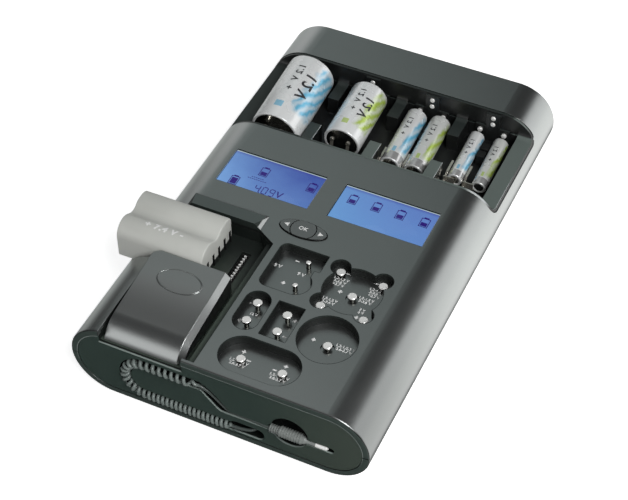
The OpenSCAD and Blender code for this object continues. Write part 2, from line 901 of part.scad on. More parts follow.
// Liner of the cell bay, with four slots, their partitions and the contact bosses
module bay_liner() {
    color([0.13, 0.14, 0.14])
        difference() {
            union() {
                difference() {
                    liner_body();
                    for (x = slot_x)
                        slot_cut(x - slot_w / 2, x + slot_w / 2, slot_front, slot_rear);
                    slot_cut(slot_x[0], slot_x[3], slot_front + tab_l - liner_t, slot_rear - block_l + liner_t);
                }
                for (x = slot_x)
                    contact_bosses(x);
                pair_bars(slot_x[2], aa_cell_r);
                pair_bars(slot_x[3], aaa_cell_r);
            }
            for (x = slot_x)
                stud_holes(x);
        }
}

module liner_body() {
    intersection() {
        stadium_prism(flange_inset, -big / 2, big / 2);
        difference() {
            across_bar(-body_w / 2, body_w / 2)
                bay_outline(liner_t);
            across_bar(-body_w, body_w)
                bay_outline(0);
        }
    }
    across_bar(-slot_outer - tub_t, slot_outer + tub_t)
        polygon([[slot_front - liner_t, slot_floor(slot_front) - tub_t],
            [slot_rear + liner_t, slot_floor(slot_rear) - tub_t],
            [slot_rear + liner_t, ledge_z - liner_t / 2], [slot_front - liner_t, ledge_z - liner_t / 2]]);
}

// One slot, cut down to the sloping floor
module slot_cut(x0, x1, y0, y1) {
    across_bar(x0, x1)
        polygon([[y0, slot_floor(y0)], [y1, slot_floor(y1)], [y1, ledge_z + body_h], [y0, ledge_z + body_h]]);
}

module contact_bosses(x) {
    span([x - 5, boss_y, slot_floor(slot_rear) - 1], [x + 5, slot_rear + liner_t / 2, deck_z - 2]);
    for (s = [-1, 1])
        span([x + s * pair_x - 3.5, boss_y, slot_floor(slot_rear) - 1],
            [x + s * pair_x + 3.5, slot_rear + liner_t / 2, deck_z - 13.5]);
}

// Two bars that keep a pair of small cells apart
module pair_bars(x, r) {
    w = 2 * (pair_x - r) - 1.2;
    for (y = [bay_start + 53.3, bay_start + 61.3])
        span([x - w / 2, y, slot_floor(y) - 1], [x + w / 2, y + 6, deck_z - 20.5]);
}

// Heights of the four contact studs of a slot under the deck, with their places across it
function stud_places(x) = [[x, 5.4, 0.9], [x, 10.8, 0.9], [x - pair_x, 17.5, 1.8], [x + pair_x, 17.5, 1.8]];

module stud_holes(x) {
    for (p = stud_places(x))
        translate([p[0], boss_y - 1, deck_z - p[1]])
            rotate([-90, 0, 0])
                cylinder(r = 1, h = 20, $fn = 24);
}

// Bright domed studs on the back wall of one slot
module rear_contacts(x) {
    color([0.85, 0.85, 0.83])
        for (p = stud_places(x))
            translate([p[0], boss_y, deck_z - p[1]])
                rotate([90, 0, 0]) {
                    rotate_extrude($fn = 32)
                        dome_outline(1.75, p[2]);
                    translate([0, 0, -4])
                        cylinder(r = 0.95, h = 4 + eps, $fn = 24);
                }
}

// Outline of a domed head, r wide and h high
module dome_outline(r, h) {
    polygon([[0, 0], [r, 0], [r, h - 0.6], [r - 0.2, h - 0.3], [r - 0.8, h], [0, h]]);
}

// Local frame of a slot: origin on the floor at its front wall, Y up the slope
module in_slot(x) {
    translate([x, slot_front, slot_floor(slot_front)])
        rotate([slot_tilt, 0, 0])
            children();
}

// Leaf contact with two arms that press on the cut-off end of a large cell
module leaf_contact(x, near, tip_h) {
    color([0.80, 0.78, 0.70])
        in_slot(x) {
            span([-12, 0.3, 0.05], [12, 5, 0.65]);
            for (s = [-1, 1])
                translate([s * 5.8, 0, 0]) {
                    across_bar(-1.1, 1.1)
                        bent_strip([[4, 0.35], [5.6, 0.35], [near - 3.6, tip_h * 0.6], [near - 1.9, tip_h]], 0.6);
                    translate([0, near - 2.7, tip_h])
                        rotate([-90, 0, 0])
                            rotate_extrude($fn = 32)
                                dome_outline(1.5, 2.2);
                }
        }
}

// Leaf contact with two long arms beside a pair of small cells, each with a wing on the cell's end
module pair_contact(x, near, arm_x) {
    color([0.80, 0.78, 0.70])
        in_slot(x) {
            span([arm_x[0] - 0.8, 0.3, 0.05], [arm_x[1] + 0.9, 5, 0.65]);
            for (ax = arm_x) {
                across_bar(ax - 0.8, ax + 0.8)
                    bent_strip([[4, 0.35], [near - 8, 0.35], [near + 5, 6.6], [near + 15, 6.6]], 0.6);
                span([ax - 0.8, near - 1.1, 1.5], [ax + 7, near - 0.5, 8]);
            }
        }
}

// Length along the slope from the slot's front wall to the near end of a cell, less its button
function near_end(l, button_h) = (shoulder_y - slot_front) / cos(slot_tilt) - l + button_h;

// Round cell with its button at the back, lying on the floor of its slot
module cell(x, r, l, button_r, button_h, tone) {
    in_slot(x)
        translate([0, near_end(l, button_h), r + cell_gap])
            rotate([-90, 0, 0])
                color(tone)
                    rotate_extrude($fn = 64)
                        cell_outline(r, l - button_h, button_r, button_h);
}

// One of a pair of small cells in slot i, on side s of it
module small_cell(i, s, r, l, tone) {
    cell(slot_x[i] + s * pair_x, r, l, r * 0.38, small_button, tone);
}

module cell_outline(r, l, button_r, button_h) {
    polygon([[0, 0.6], [r - 1.9, 0.6], [r - 1.7, 0], [r - 0.5, 0], [r, 0.5], [r, l - 0.9], [r - 0.9, l],
        [button_r, l], [button_r, l + button_h - 0.3], [button_r - 0.3, l + button_h], [0, l + button_h]]);
}

module window(i) {
    color([0.25, 0.32, 0.62, 0.6])
        translate([lcd_x[i] - display_w / 2, lcd_y - lcd_l / 2, deck_z - window_sink - window_t])
            cube([display_w, lcd_l, window_t]);
}

module lcd(i) {
    color([0.24, 0.30, 0.72])
        translate([lcd_x[i] - display_w / 2 - 1, lcd_y - lcd_l / 2 - 1, deck_z - wall - lcd_t])
            cube([display_w + 2, lcd_l + 2, lcd_t]);
}

module display_board() {
    color([0.10, 0.32, 0.18])
        span([lcd_x[0] - display_w / 2 - 1, lcd_y - lcd_l / 2 - 2, deck_z - wall - lcd_t - board_t],
            [lcd_x[1] + display_w / 2, lcd_y + lcd_l / 2 + 3, deck_z - wall - lcd_t]);
}

// Keys: the pad's oval, split by two arcs; i is 0 for left, 1 for OK and 2 for right
module key(i) {
    bottom = deck_z - pad_floor_drop + mat_t + key_travel + key_rest;
    color([0.24, 0.26, 0.26])
        translate([pad_x, pad_y, bottom])
            linear_extrude(deck_z + key_proud - bottom)
                if (i == 1)
                    intersection() {
                        pad_oval(key_gap);
                        circle(r = ok_r - key_gap / 2, $fn = 64);
                    }
                else
                    difference() {
                        pad_oval(key_gap);
                        circle(r = ok_r + key_gap / 2, $fn = 64);
                        translate([i == 0 ? 0 : -big, -big / 2])
                            square(big);
                    }
}

module key_mat() {
    color([0.35, 0.36, 0.38])
        translate([pad_x, pad_y, deck_z - pad_floor_drop])
            linear_extrude(mat_t)
                pad_oval(0.1);
}

module contact_block() {
    color([0.07, 0.07, 0.07])
        difference() {
            span([pin_x - 2.9, pin_y - 13.4, module_floor - 3.5], [pin_x + 2.9, pin_y + 13.4, module_floor - 1]);
            for (i = [0 : pin_count - 1])
                translate([pin_x, pin_y + (i - (pin_count - 1) / 2) * pin_pitch, module_floor - 4])
                    cylinder(r = 0.5, h = 10, $fn = 16);
        }
}

module contact_pins() {
    color([0.86, 0.86, 0.84])
        for (i = [0 : pin_count - 1])
            translate([pin_x, pin_y + (i - (pin_count - 1) / 2) * pin_pitch, module_floor - 3.5]) {
                cylinder(r = 0.5, h = 3, $fn = 16);
                translate([-1.7, -0.5, 2.5])
                    cube([3.4, 1, 1.6]);
            }
}

// Side of the slider seen from the right: its top falls gently, then rolls down to the front
module slider_side() {
    polygon([[hook_y, hook_z], [roll_y, roll_z], [slider_back, deck_z + slider_proud], [slider_back, hook_z]]);
    translate([hook_y, hook_z])
        circle(r = hook_r, $fn = 96);
}

// Side outline of the slider's skin
module slider_outline() {
    polygon([[roll_y, roll_z - slider_t], [roll_y, roll_z], [slider_back, deck_z + slider_proud],
        [slider_back, deck_z + slider_proud - slider_t]]);
    intersection() {
        translate([hook_y, hook_z])
            difference() {
                circle(r = hook_r, $fn = 96);
                circle(r = hook_r - hook_t, $fn = 96);
            }
        translate([hook_y - hook_r - 1, deck_z - hook_end_drop])
            square([hook_r + 1 + roll_y - hook_y, body_h]);
    }
}

// Side outline of the solid cheek on the slider's right edge
module cheek_outline() {
    under = module_floor + slide_gap;
    intersection() {
        slider_side();
        union() {
            translate([lip_back + slide_gap + slider_travel, under])
                square([big, big]);
            translate([hook_y - hook_r, deck_z - hook_end_drop])
                square([big, big]);
        }
    }
}

module clamp_slider() {
    color([0.30, 0.32, 0.33])
        difference() {
            union() {
                across_bar(slider_left, slider_right)
                    slider_outline();
                across_bar(slider_right - cheek_t, slider_right)
                    cheek_outline();
                across_bar(slider_left, slider_left + skirt_t)
                    intersection() {
                        cheek_outline();
                        translate([hook_y, -big / 2])
                            square(big);
                    }
                span([slider_left, rib_y - 2, module_floor + slide_gap],
                    [slider_right, rib_y, deck_z + slider_proud - 1.5]);
                boss_oval();
            }
            translate([slider_right, slider_back, deck_z + slider_proud - edge_chamfer])
                rotate([slider_fall, 0, 0])
                    rotate([0, -45, 0])
                        translate([0, -(slider_back - roll_y) / cos(slider_fall), -big / 2])
                            cube([big, big, big]);
            hook_chamfer();
            slider_corner();
        }
}

// Chamfer of the right edge where the skin rolls over the front
module hook_chamfer() {
    translate([slider_right, hook_y, hook_z])
        rotate([0, 90, 0])
            rotate_extrude(angle = 90 - slider_fall, start = 180 + slider_fall, $fn = 96)
                polygon([[hook_r - edge_chamfer, 0], [hook_r + edge_chamfer, -2 * edge_chamfer],
                    [hook_r + edge_chamfer, 1], [hook_r - edge_chamfer, 1]]);
}

// Rounds the slider's back left corner in plan
module slider_corner() {
    r = 6;
    translate([slider_left, slider_back, -big / 2])
        difference() {
            translate([-1, -r, 0])
                cube([r + 1, r + 1, big]);
            translate([r, -r, 0])
                cylinder(r = r, h = big, $fn = 48);
        }
}

// Low oval boss on the slider
module boss_oval() {
    translate([slider_left + slider_w / 2, slider_back, deck_z + slider_proud])
        rotate([slider_fall, 0, 0])
            translate([0, -oval_back, -1])
                linear_extrude(1 + oval_proud)
                    polygon([for (a = [0 : 7.5 : 352.5]) [oval_r[0] * cos(a), oval_r[1] * sin(a)]]);
}

module clamp_springs() {
    y0 = lug_back + 0.1;
    color([0.75, 0.75, 0.75])
        for (x = spring_x)
            translate([x, y0 + spring_wire / 2, spring_z])
                helix(rib_y - 2 - y0 - spring_wire, spring_r, spring_wire / 2, spring_turns);
}

// Camera battery: a flat back, a shallow valley and a round hump in front
module camera_battery() {
    z0 = module_floor;
    top = z0 + module_h;
    hump_r = 9.5;
    hump_y = module_back - module_l + hump_r;
    hump_z = top - hump_r;
    left = module_right_end - module_w;
    color([0.72, 0.73, 0.71])
        difference() {
            across_bar(left, module_right_end) {
                intersection() {
                    translate([hump_y, hump_z])
                        circle(r = hump_r, $fn = 96);
                    translate([hump_y - hump_r - 1, hump_z])
                        square([2 * hump_r + 1, hump_r + 1]);
                }
                translate([hump_y - hump_r, z0])
                    square([hump_r, hump_z - z0]);
                polygon([[hump_y, z0], [module_back, z0], [module_back, top - 5],
                    [module_back - 1, top - 3], [module_back - 3, top - 1.8], [module_back - 5.5, top - 1],
                    [module_back - 10, top - 1], [module_back - 13, top - 1.8], [module_back - 16, top - 3.8],
                    [module_back - 20, top - 4.4], [hump_y, top - 4.4]]);
            }
            for (i = [0 : 4])
                translate([module_right_end - 5, module_back - 12 - i * 5, z0 - 1])
                    cube([6, 2.4, 6.5]);
        }
}

// Round contact studs: a head on a thin neck that reaches down to the test board
module studs(places, h, r = stud_r) {
    color([0.86, 0.86, 0.84])
        for (p = places)
            translate([p[0], p[1], 0]) {
                translate([0, 0, test_board_z])
                    cylinder(r = stud_neck_r, h = pit_z + h - 1 - test_board_z, $fn = 24);
                translate([0, 0, pit_z + h - 1.6])
                    cylinder(r = r, h = 1.2, $fn = 32);
                translate([0, 0, pit_z + h - 0.4 - eps])
                    cylinder(r1 = r, r2 = r - 0.5, h = 0.4 + eps, $fn = 32);
            }
}

module test_board() {
    color([0.10, 0.32, 0.18])
        span([-11, front_y + 9, test_board_z - board_t], [64, nine_volt_y[1] + 0.5, test_board_z]);
}

module main_board() {
    color([0.10, 0.32, 0.18])
        difference() {
            span([-main_board_x, main_board_front, main_board_z], [main_board_x, main_board_rear, main_board_z + board_t]);
            for (x = [-post_x, post_x])
                for (y = post_y)
                    translate([x, y, 0])
                        cylinder(r = 1.3, h = body_h, $fn = 24);
        }
}

// Transformer, capacitors, heat sink and connectors on the main board
module board_parts() {
    z = main_board_z + board_t;
    color([0.18, 0.18, 0.20]) {
        span([-48, -40, z], [-8, 2, z + 24]);
        span([-52, -32, z], [-4, -6, z + 18]);
        for (x = [8, 24])
            for (y = [-34, -16])
                translate([x, y, z])
                    cylinder(r = 6.5, h = 25, $fn = 48);
        span([36, -44, z], [52, 0, z + 3]);
        for (i = [0 : 4])
            span([36 + i * 3.6, -44, z + 3 - eps], [37.6 + i * 3.6, 0, z + 22]);
        span([-46, -90, z], [-30, -76, z + 6]);
        span([-10, -96, z], [8, -78, z + 2.5]);
        span([28, -98, z], [44, -84, z + 9]);
        span([-40, 60, z], [-20, 68, z + 7]);
        span([10, 60, z], [30, 68, z + 7]);
    }
}

module board_screws() {
    z = main_board_z + board_t;
    color([0.70, 0.70, 0.68])
        for (x = [-post_x, post_x])
            for (y = post_y)
                translate([x, y, 0]) {
                    translate([0, 0, z])
                        cylinder(r = 2.6, h = 1.8, $fn = 32);
                    translate([0, 0, floor_z + 0.5])
                        cylinder(r = 1.05, h = z - floor_z, $fn = 24);
                }
}

// Power inlet on the main board, with its barrel in the rear panel
module dc_inlet() {
    y = main_board_rear - 8;
    color([0.12, 0.12, 0.12])
        difference() {
            union() {
                span([jack_x - 4.5, y, jack_z - 5.5], [jack_x + 4.5, rear_y - 9.5, jack_z + 5.5]);
                translate([jack_x, rear_y - 0.5, jack_z])
                    rotate([90, 0, 0])
                        cylinder(r = 4, h = 12, $fn = 48);
            }
            translate([jack_x, rear_y + 1, jack_z])
                rotate([90, 0, 0])
                    cylinder(r = jack_bore_r, h = 11, $fn = 48);
        }
    color([0.80, 0.80, 0.78])
        translate([jack_x, rear_y - 2, jack_z])
            rotate([90, 0, 0])
                cylinder(r = 1, h = 10, $fn = 24);
}

module rubber_feet() {
    h = foot_proud + foot_recess;
    color([0.12, 0.12, 0.12])
        for (p = foot_sites)
            translate([p[0], p[1], 0])
                rotate_extrude($fn = 48)
                    polygon([[0, 0], [foot_r - 0.6, 0], [foot_r, 0.6], [foot_r, h], [0, h]]);
}

module case_screws() {
    color([0.70, 0.70, 0.68])
        for (p = screw_sites)
            translate([p[0], p[1], 0]) {
                translate([0, 0, head_seat_z - screw_head_t])
                    difference() {
                        cylinder(r = screw_head_r, h = screw_head_t, $fn = 32);
                        span([-0.5, -2, -1], [0.5, 2, 1]);
                        span([-2, -0.5, -1], [2, 0.5, 1]);
                    }
                translate([0, 0, head_seat_z - eps])
                    cylinder(r = screw_r - 0.05, h = screw_tip_z - head_seat_z, $fn = 24);
            }
}

// Plug in the floor of the exit hole, which holds the cord
module cord_grommet() {
    seat_y = panel_y + slot_hole_depth;
    color([0.13, 0.13, 0.13])
        translate([grommet_x, seat_y, grommet_z])
            rotate([-90, 0, 0]) {
                translate([0, 0, -1])
                    cylinder(r = 2.9, h = 1, $fn = 32);
                translate([0, 0, -1])
                    cylinder(r = 2.1, h = 5, $fn = 32);
            }
}

// Route points with their depth turned into a place along Y
function placed(route) = [for (p = route) [p[0], front_y + p[1], p[2]]];

module cord_root() {
    color([0.15, 0.15, 0.15])
        tube(placed(root_route), cord_d / 2, 8, [0, 0, 1]);
}

module cord_coil() {
    color([0.15, 0.15, 0.15])
        tube(coil_path(), coil_r, 12, [0, 1, 0]);
}

module cord_lead() {
    color([0.15, 0.15, 0.15])
        tube(placed(lead_route), cord_d / 2, 8, [0, 1, 0]);
}

// Piece of the probe, turned about X from place x
module on_probe(x) {
    translate([x, probe_y, probe_z])
        rotate([0, 90, 0])
            rotate_extrude($fn = 48)
                children();
}

module probe_relief() {
    color([0.14, 0.14, 0.14])
        on_probe(relief_x) {
            square([1.9, relief_l]);
            for (i = [0 : 3])
                translate([0, 0.3 + i * 1.5])
                    square([2.7, 0.8]);
        }
}

module probe_grip() {
    color([0.16, 0.16, 0.16])
        on_probe(grip_x) {
            square([grip_d / 2 - 0.4, grip_l]);
            for (i = [0 : 8])
                translate([0, 0.6 + i * grip_l / 9.3])
                    square([grip_d / 2, grip_l / 18]);
            translate([0, grip_l])
                polygon([[0, 0], [2.6, 0], [2.6, 1.2], [tip_d / 2 - 0.1, 3], [tip_d / 2 - 0.1, neck_l], [0, neck_l]]);
        }
}

module probe_tip() {
    color([0.87, 0.87, 0.85])
        on_probe(tip_x)
            polygon([[0, 0], [tip_d / 2, 0], [tip_d / 2, tip_l - 1.4], [tip_d / 2 - 0.7, tip_l], [0, tip_l]]);
}

upper_shell();
recess_tub();
camera_tub();
lower_shell();
front_panel();
rear_panel();
bay_liner();
rear_contacts(slot_x[0]);  // rear_contacts_d
rear_contacts(slot_x[1]);  // rear_contacts_c
rear_contacts(slot_x[2]);  // rear_contacts_aa
rear_contacts(slot_x[3]);  // rear_contacts_aaa
leaf_contact(slot_x[0], near_end(d_cell_l, big_button), 22);  // front_contact_d
leaf_contact(slot_x[1], near_end(c_cell_l, big_button), 17);  // front_contact_c
pair_contact(slot_x[2], near_end(aa_cell_l, small_button), [-16.9, 0]);  // front_contact_aa
pair_contact(slot_x[3], near_end(aaa_cell_l, small_button), [-15.2, -1.8]);  // front_contact_aaa
cell(slot_x[0], d_cell_r, d_cell_l, 4.7, big_button, [0.88, 0.90, 0.94]);  // d_cell
cell(slot_x[1], c_cell_r, c_cell_l, 3.6, big_button, [0.85, 0.90, 0.80]);  // c_cell
small_cell(2, -1, aa_cell_r, aa_cell_l, [0.86, 0.90, 0.94]);  // aa_cell_left
small_cell(2, 1, aa_cell_r, aa_cell_l, [0.84, 0.90, 0.76]);  // aa_cell_right
small_cell(3, -1, aaa_cell_r, aaa_cell_l, [0.86, 0.90, 0.94]);  // aaa_cell_left
small_cell(3, 1, aaa_cell_r, aaa_cell_l, [0.84, 0.90, 0.76]);  // aaa_cell_right
window(0);  // window_left
window(1);  // window_right
lcd(0);  // lcd_left
lcd(1);  // lcd_right
display_board();
key(0);  // key_left
key(1);  // key_ok
key(2);  // key_right
key_mat();
contact_block();
contact_pins();
clamp_slider();
clamp_springs();
camera_battery();
studs(nine_volt_studs, 5.4, 1.6);  // studs_nine_volt
studs(lobed_studs, stud_low);  // studs_lobed
studs(slot_studs, stud_tall);  // studs_slot
studs(square_studs, stud_tall);  // studs_square
studs([round_stud], stud_low);  // stud_round
studs(capsule_studs, stud_low);  // studs_capsule
test_board();
main_board();
board_parts();
board_screws();
dc_inlet();
rubber_feet();
case_screws();
cord_grommet();
cord_root();
cord_coil();
cord_lead();
probe_relief();
probe_grip();
probe_tip();
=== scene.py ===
# %% [markdown]
# A multi-bay battery charger stands on a pale table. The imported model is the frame:
# its solids give every place and size, and this file gives the charger its looks.
# Everything is in metres. The mm() helper turns drawing millimetres into them.

# %% The frame and its box
import math

import bmesh
import bpy
from mathutils import Matrix, Vector


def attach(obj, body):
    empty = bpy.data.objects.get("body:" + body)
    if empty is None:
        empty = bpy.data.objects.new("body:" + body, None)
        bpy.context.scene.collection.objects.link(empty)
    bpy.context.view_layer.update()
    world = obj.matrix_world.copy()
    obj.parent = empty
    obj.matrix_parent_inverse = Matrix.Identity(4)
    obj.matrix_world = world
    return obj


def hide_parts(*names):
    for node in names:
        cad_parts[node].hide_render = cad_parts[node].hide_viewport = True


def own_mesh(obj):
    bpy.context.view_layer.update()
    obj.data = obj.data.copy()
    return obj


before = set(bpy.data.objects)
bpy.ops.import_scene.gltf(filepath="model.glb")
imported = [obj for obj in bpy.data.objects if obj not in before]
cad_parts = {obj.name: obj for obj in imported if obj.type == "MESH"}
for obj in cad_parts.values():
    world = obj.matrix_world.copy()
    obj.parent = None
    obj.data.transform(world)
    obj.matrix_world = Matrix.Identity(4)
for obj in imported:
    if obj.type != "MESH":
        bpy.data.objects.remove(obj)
bpy.context.view_layer.update()
scene = bpy.context.scene


def mm(*numbers):
    """Millimetres of the drawing as metres, one number or a vector."""
    return numbers[0] / 1000 if len(numbers) == 1 else Vector(numbers) / 1000


def in_scene(name, data):
    """A new object with that data, in the scene."""
    made = bpy.data.objects.new(name, data)
    scene.collection.objects.link(made)
    return made


# %% [markdown]
# The photograph looks down on the charger from its front right corner with a long
# lens. The camera is given by the direction it looks from, a small roll, and the
# place that the fit of the known corners gave.

# %% The camera
view_azimuth, view_elevation, view_roll = (math.radians(a) for a in (25.311, 46.411, -0.333))
back = Vector((math.sin(view_azimuth) * math.cos(view_elevation),
               -math.cos(view_azimuth) * math.cos(view_elevation), math.sin(view_elevation)))
level = Vector((math.cos(view_azimuth), math.sin(view_azimuth), 0))
upward = back.cross(level)
right = level * math.cos(view_roll) + upward * math.sin(view_roll)
top = upward * math.cos(view_roll) - level * math.sin(view_roll)

lens_data = bpy.data.cameras.new("photo_camera")
lens_data.lens, lens_data.sensor_width = 95.41, 36
camera = in_scene("photo_camera", lens_data)
camera.matrix_world = (Matrix.Translation(mm(312.97, -683.42, 798.37))
                       @ Matrix((right, top, back)).transposed().to_4x4())
scene.camera = camera
print("camera at", [round(v, 4) for v in camera.location])

# %% [markdown]
# The probe's cord is one long wire: plain where it leaves the housing, wound into a
# tight coil that lies in a U-shaped groove, and plain again up to the probe. So one
# line carries it all: two plain routes and a helix between them. The routes' points
# are X, depth behind the front face, and Z.

# %% The cord's route
FRONT = -157.5
CORD_D = 2.1
root_route = [(24, 8.3, 11.5), (24, 6, 11.5), (23.2, 3.7, 11.5), (20.5, 1.9, 11.5),
              (16, 0.9, 11.4), (12, 0.5, 11.4), (9, 0.5, 11.4)]
lead_route = [(-12, 0.5, 38.4), (-11, 0.5, 38.4), (-9, 0.7, 37.6), (-5, 1.3, 34.8),
              (-1, 1.7, 30.8), (3, 1.8, 26.8), (6.5, 1.8, 24), (11, 1.8, 22.9),
              (20, 1.6, 22.9), (28, 1.3, 22.9), (34.6, 1.2, 22.9)]
COIL_Y, LOW_Z, HIGH_Z, BEND_X, LOW_X, HIGH_X = FRONT + 0.5, 11.4, 38.4, -48, 9, -12
BEND_R = (HIGH_Z - LOW_Z) / 2
LOW_RUN, BEND_RUN, HIGH_RUN = LOW_X - BEND_X, math.pi * BEND_R, HIGH_X - BEND_X
WHOLE_RUN = LOW_RUN + BEND_RUN + HIGH_RUN
COIL_R, TURN_STEPS = 2.2, 16


def smoothstep(low, high, value):
    """0 below low, 1 above high, and an even curve between."""
    share = min(1.0, max(0.0, (value - low) / (high - low)))
    return share * share * (3 - 2 * share)


def through(points, steps):
    """A smooth line through the points, steps to each stretch."""
    line = []
    for i in range(len(points) - 1):
        before, a = Vector(points[max(i - 1, 0)]), Vector(points[i])
        b, after = Vector(points[i + 1]), Vector(points[min(i + 2, len(points) - 1)])
        for k in range(steps):
            t = k / steps
            line.append(a * (2 * t**3 - 3 * t**2 + 1) + b * (3 * t**2 - 2 * t**3)
                        + (b - before) / 2 * (t**3 - 2 * t**2 + t)
                        + (after - a) / 2 * (t**3 - t**2))
    return line + [Vector(points[-1])]


def coil_middle(s):
    """Place and direction on the U at s millimetres from its lower end."""
    if s < LOW_RUN:
        return Vector((LOW_X - s, COIL_Y, LOW_Z)), Vector((-1, 0, 0))
    if s < LOW_RUN + BEND_RUN:
        a = (s - LOW_RUN) / BEND_R
        return (Vector((BEND_X - BEND_R * math.sin(a), COIL_Y,
                        LOW_Z + BEND_R - BEND_R * math.cos(a))),
                Vector((-math.cos(a), 0, math.sin(a))))
    return Vector((BEND_X + s - LOW_RUN - BEND_RUN, COIL_Y, HIGH_Z)), Vector((1, 0, 0))


def turn_pitch(s):
    """Length of the coil that one turn takes: tight below, pulled open at the upper end."""
    return (3.05 + 1.05 * smoothstep(LOW_RUN - 8, LOW_RUN + 8, s)
            + 3.2 * smoothstep(WHOLE_RUN - 12, WHOLE_RUN - 3, s))


print("coil runs", round(WHOLE_RUN, 1), "mm round the U")


# %% The cord's line
def coil_line():
    """The helix round the U, opening from nothing at both ends."""
    s, phase, line = 0.0, 1.2, []
    while s < WHOLE_RUN:
        place, ahead = coil_middle(s)
        outward = Vector((0, -1, 0))
        side = ahead.cross(outward)
        reach = COIL_R * smoothstep(-0.5, 3.2, s) * smoothstep(-0.3, 5.5, WHOLE_RUN - s)
        line.append(place + reach * (outward * math.cos(phase) + side * math.sin(phase)))
        s, phase = s + turn_pitch(s) / TURN_STEPS, phase + math.tau / TURN_STEPS
    return line


def behind_front(points):
    """Route points with their depth turned into a place along Y."""
    return [(x, FRONT + depth, z) for x, depth, z in points]


cord_line = [mm(*p) for p in through(behind_front(root_route), 5)[:-1] + coil_line()
             + through(behind_front(lead_route), 6)]
cord_length = sum((b - a).length for a, b in zip(cord_line, cord_line[1:]))
print("cord:", len(cord_line), "points,", round(cord_length, 3), "m")

# %% [markdown]
# A guide curve carries a round section along that line, so the wire stays round through
# every turn. The tube made from it is kept as a mesh and the guide goes: a curve's own
# box also counts its points' radius. The cord rides on the housing, in its grooves.


# %% The cord as a tube
def evaluated(thing):
    """The final mesh of a curve or of a piece with modifiers."""
    bpy.context.view_layer.update()
    return bpy.data.meshes.new_from_object(
        thing.evaluated_get(bpy.context.evaluated_depsgraph_get()))


cord_curve = bpy.data.curves.new("probe_cord", "CURVE")
cord_curve.dimensions, cord_curve.use_fill_caps = "3D", True
cord_curve.bevel_depth, cord_curve.bevel_resolution = mm(CORD_D / 2), 3
strand = cord_curve.splines.new("POLY")
strand.points.add(len(cord_line) - 1)
for spot, place in zip(strand.points, cord_line):
    spot.co = (*place, 1)
strand.use_smooth = True
guide = in_scene("cord_guide", cord_curve)
cord = in_scene("probe_cord", evaluated(guide))
bpy.data.objects.remove(guide)
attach(cord, "housing")
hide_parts("cord_root", "cord_coil", "cord_lead")
print("cord tube:", len(cord.data.polygons), "faces")

# %% [markdown]
# Shader maths reads best as plain sums. A Wire wraps one socket, and each sum or
# product on it adds a Math node. Nodes wraps a node tree: its add() makes any other
# node, with the node's settings first and then what its sockets hold. A Finish is one
# material that starts from a Principled shader.


# %% Wires
class Wire:
    """One shader socket; sums and products on it add Math nodes."""

    def __init__(self, nodes, socket):
        self.nodes, self.socket = nodes, socket

    def maths(self, operation, *others):
        """A Math node with this in its first socket."""
        return self.nodes.add("ShaderNodeMath", {"operation": operation},
                              dict(enumerate((self, *others))))

    def __add__(self, other):
        return self.maths("ADD", other)

    def __sub__(self, other):
        return self.maths("SUBTRACT", other)

    def __mul__(self, other):
        return self.maths("MULTIPLY", other)

    def __truediv__(self, other):
        return self.maths("DIVIDE", other)

    def __rsub__(self, other):
        return self.nodes.add("ShaderNodeMath", {"operation": "SUBTRACT"}, {0: other, 1: self})

    def __abs__(self):
        return self.maths("ABSOLUTE")

    __radd__ = __add__
    __rmul__ = __mul__

    def most(self, other):
        """The larger of this and the other."""
        return self.maths("MAXIMUM", other)

    def above(self, edge, soft):
        """1 where this is above the edge and 0 below it, over a soft width."""
        return self.nodes.add("ShaderNodeMapRange", {"interpolation_type": "SMOOTHSTEP"}, {
            "Value": self, "From Min": edge - soft / 2, "From Max": edge + soft / 2})

    def within(self, low, high, soft):
        """1 between low and high."""
        return self.above(low, soft) * (1 - self.above(high, soft))


print("wires ready")


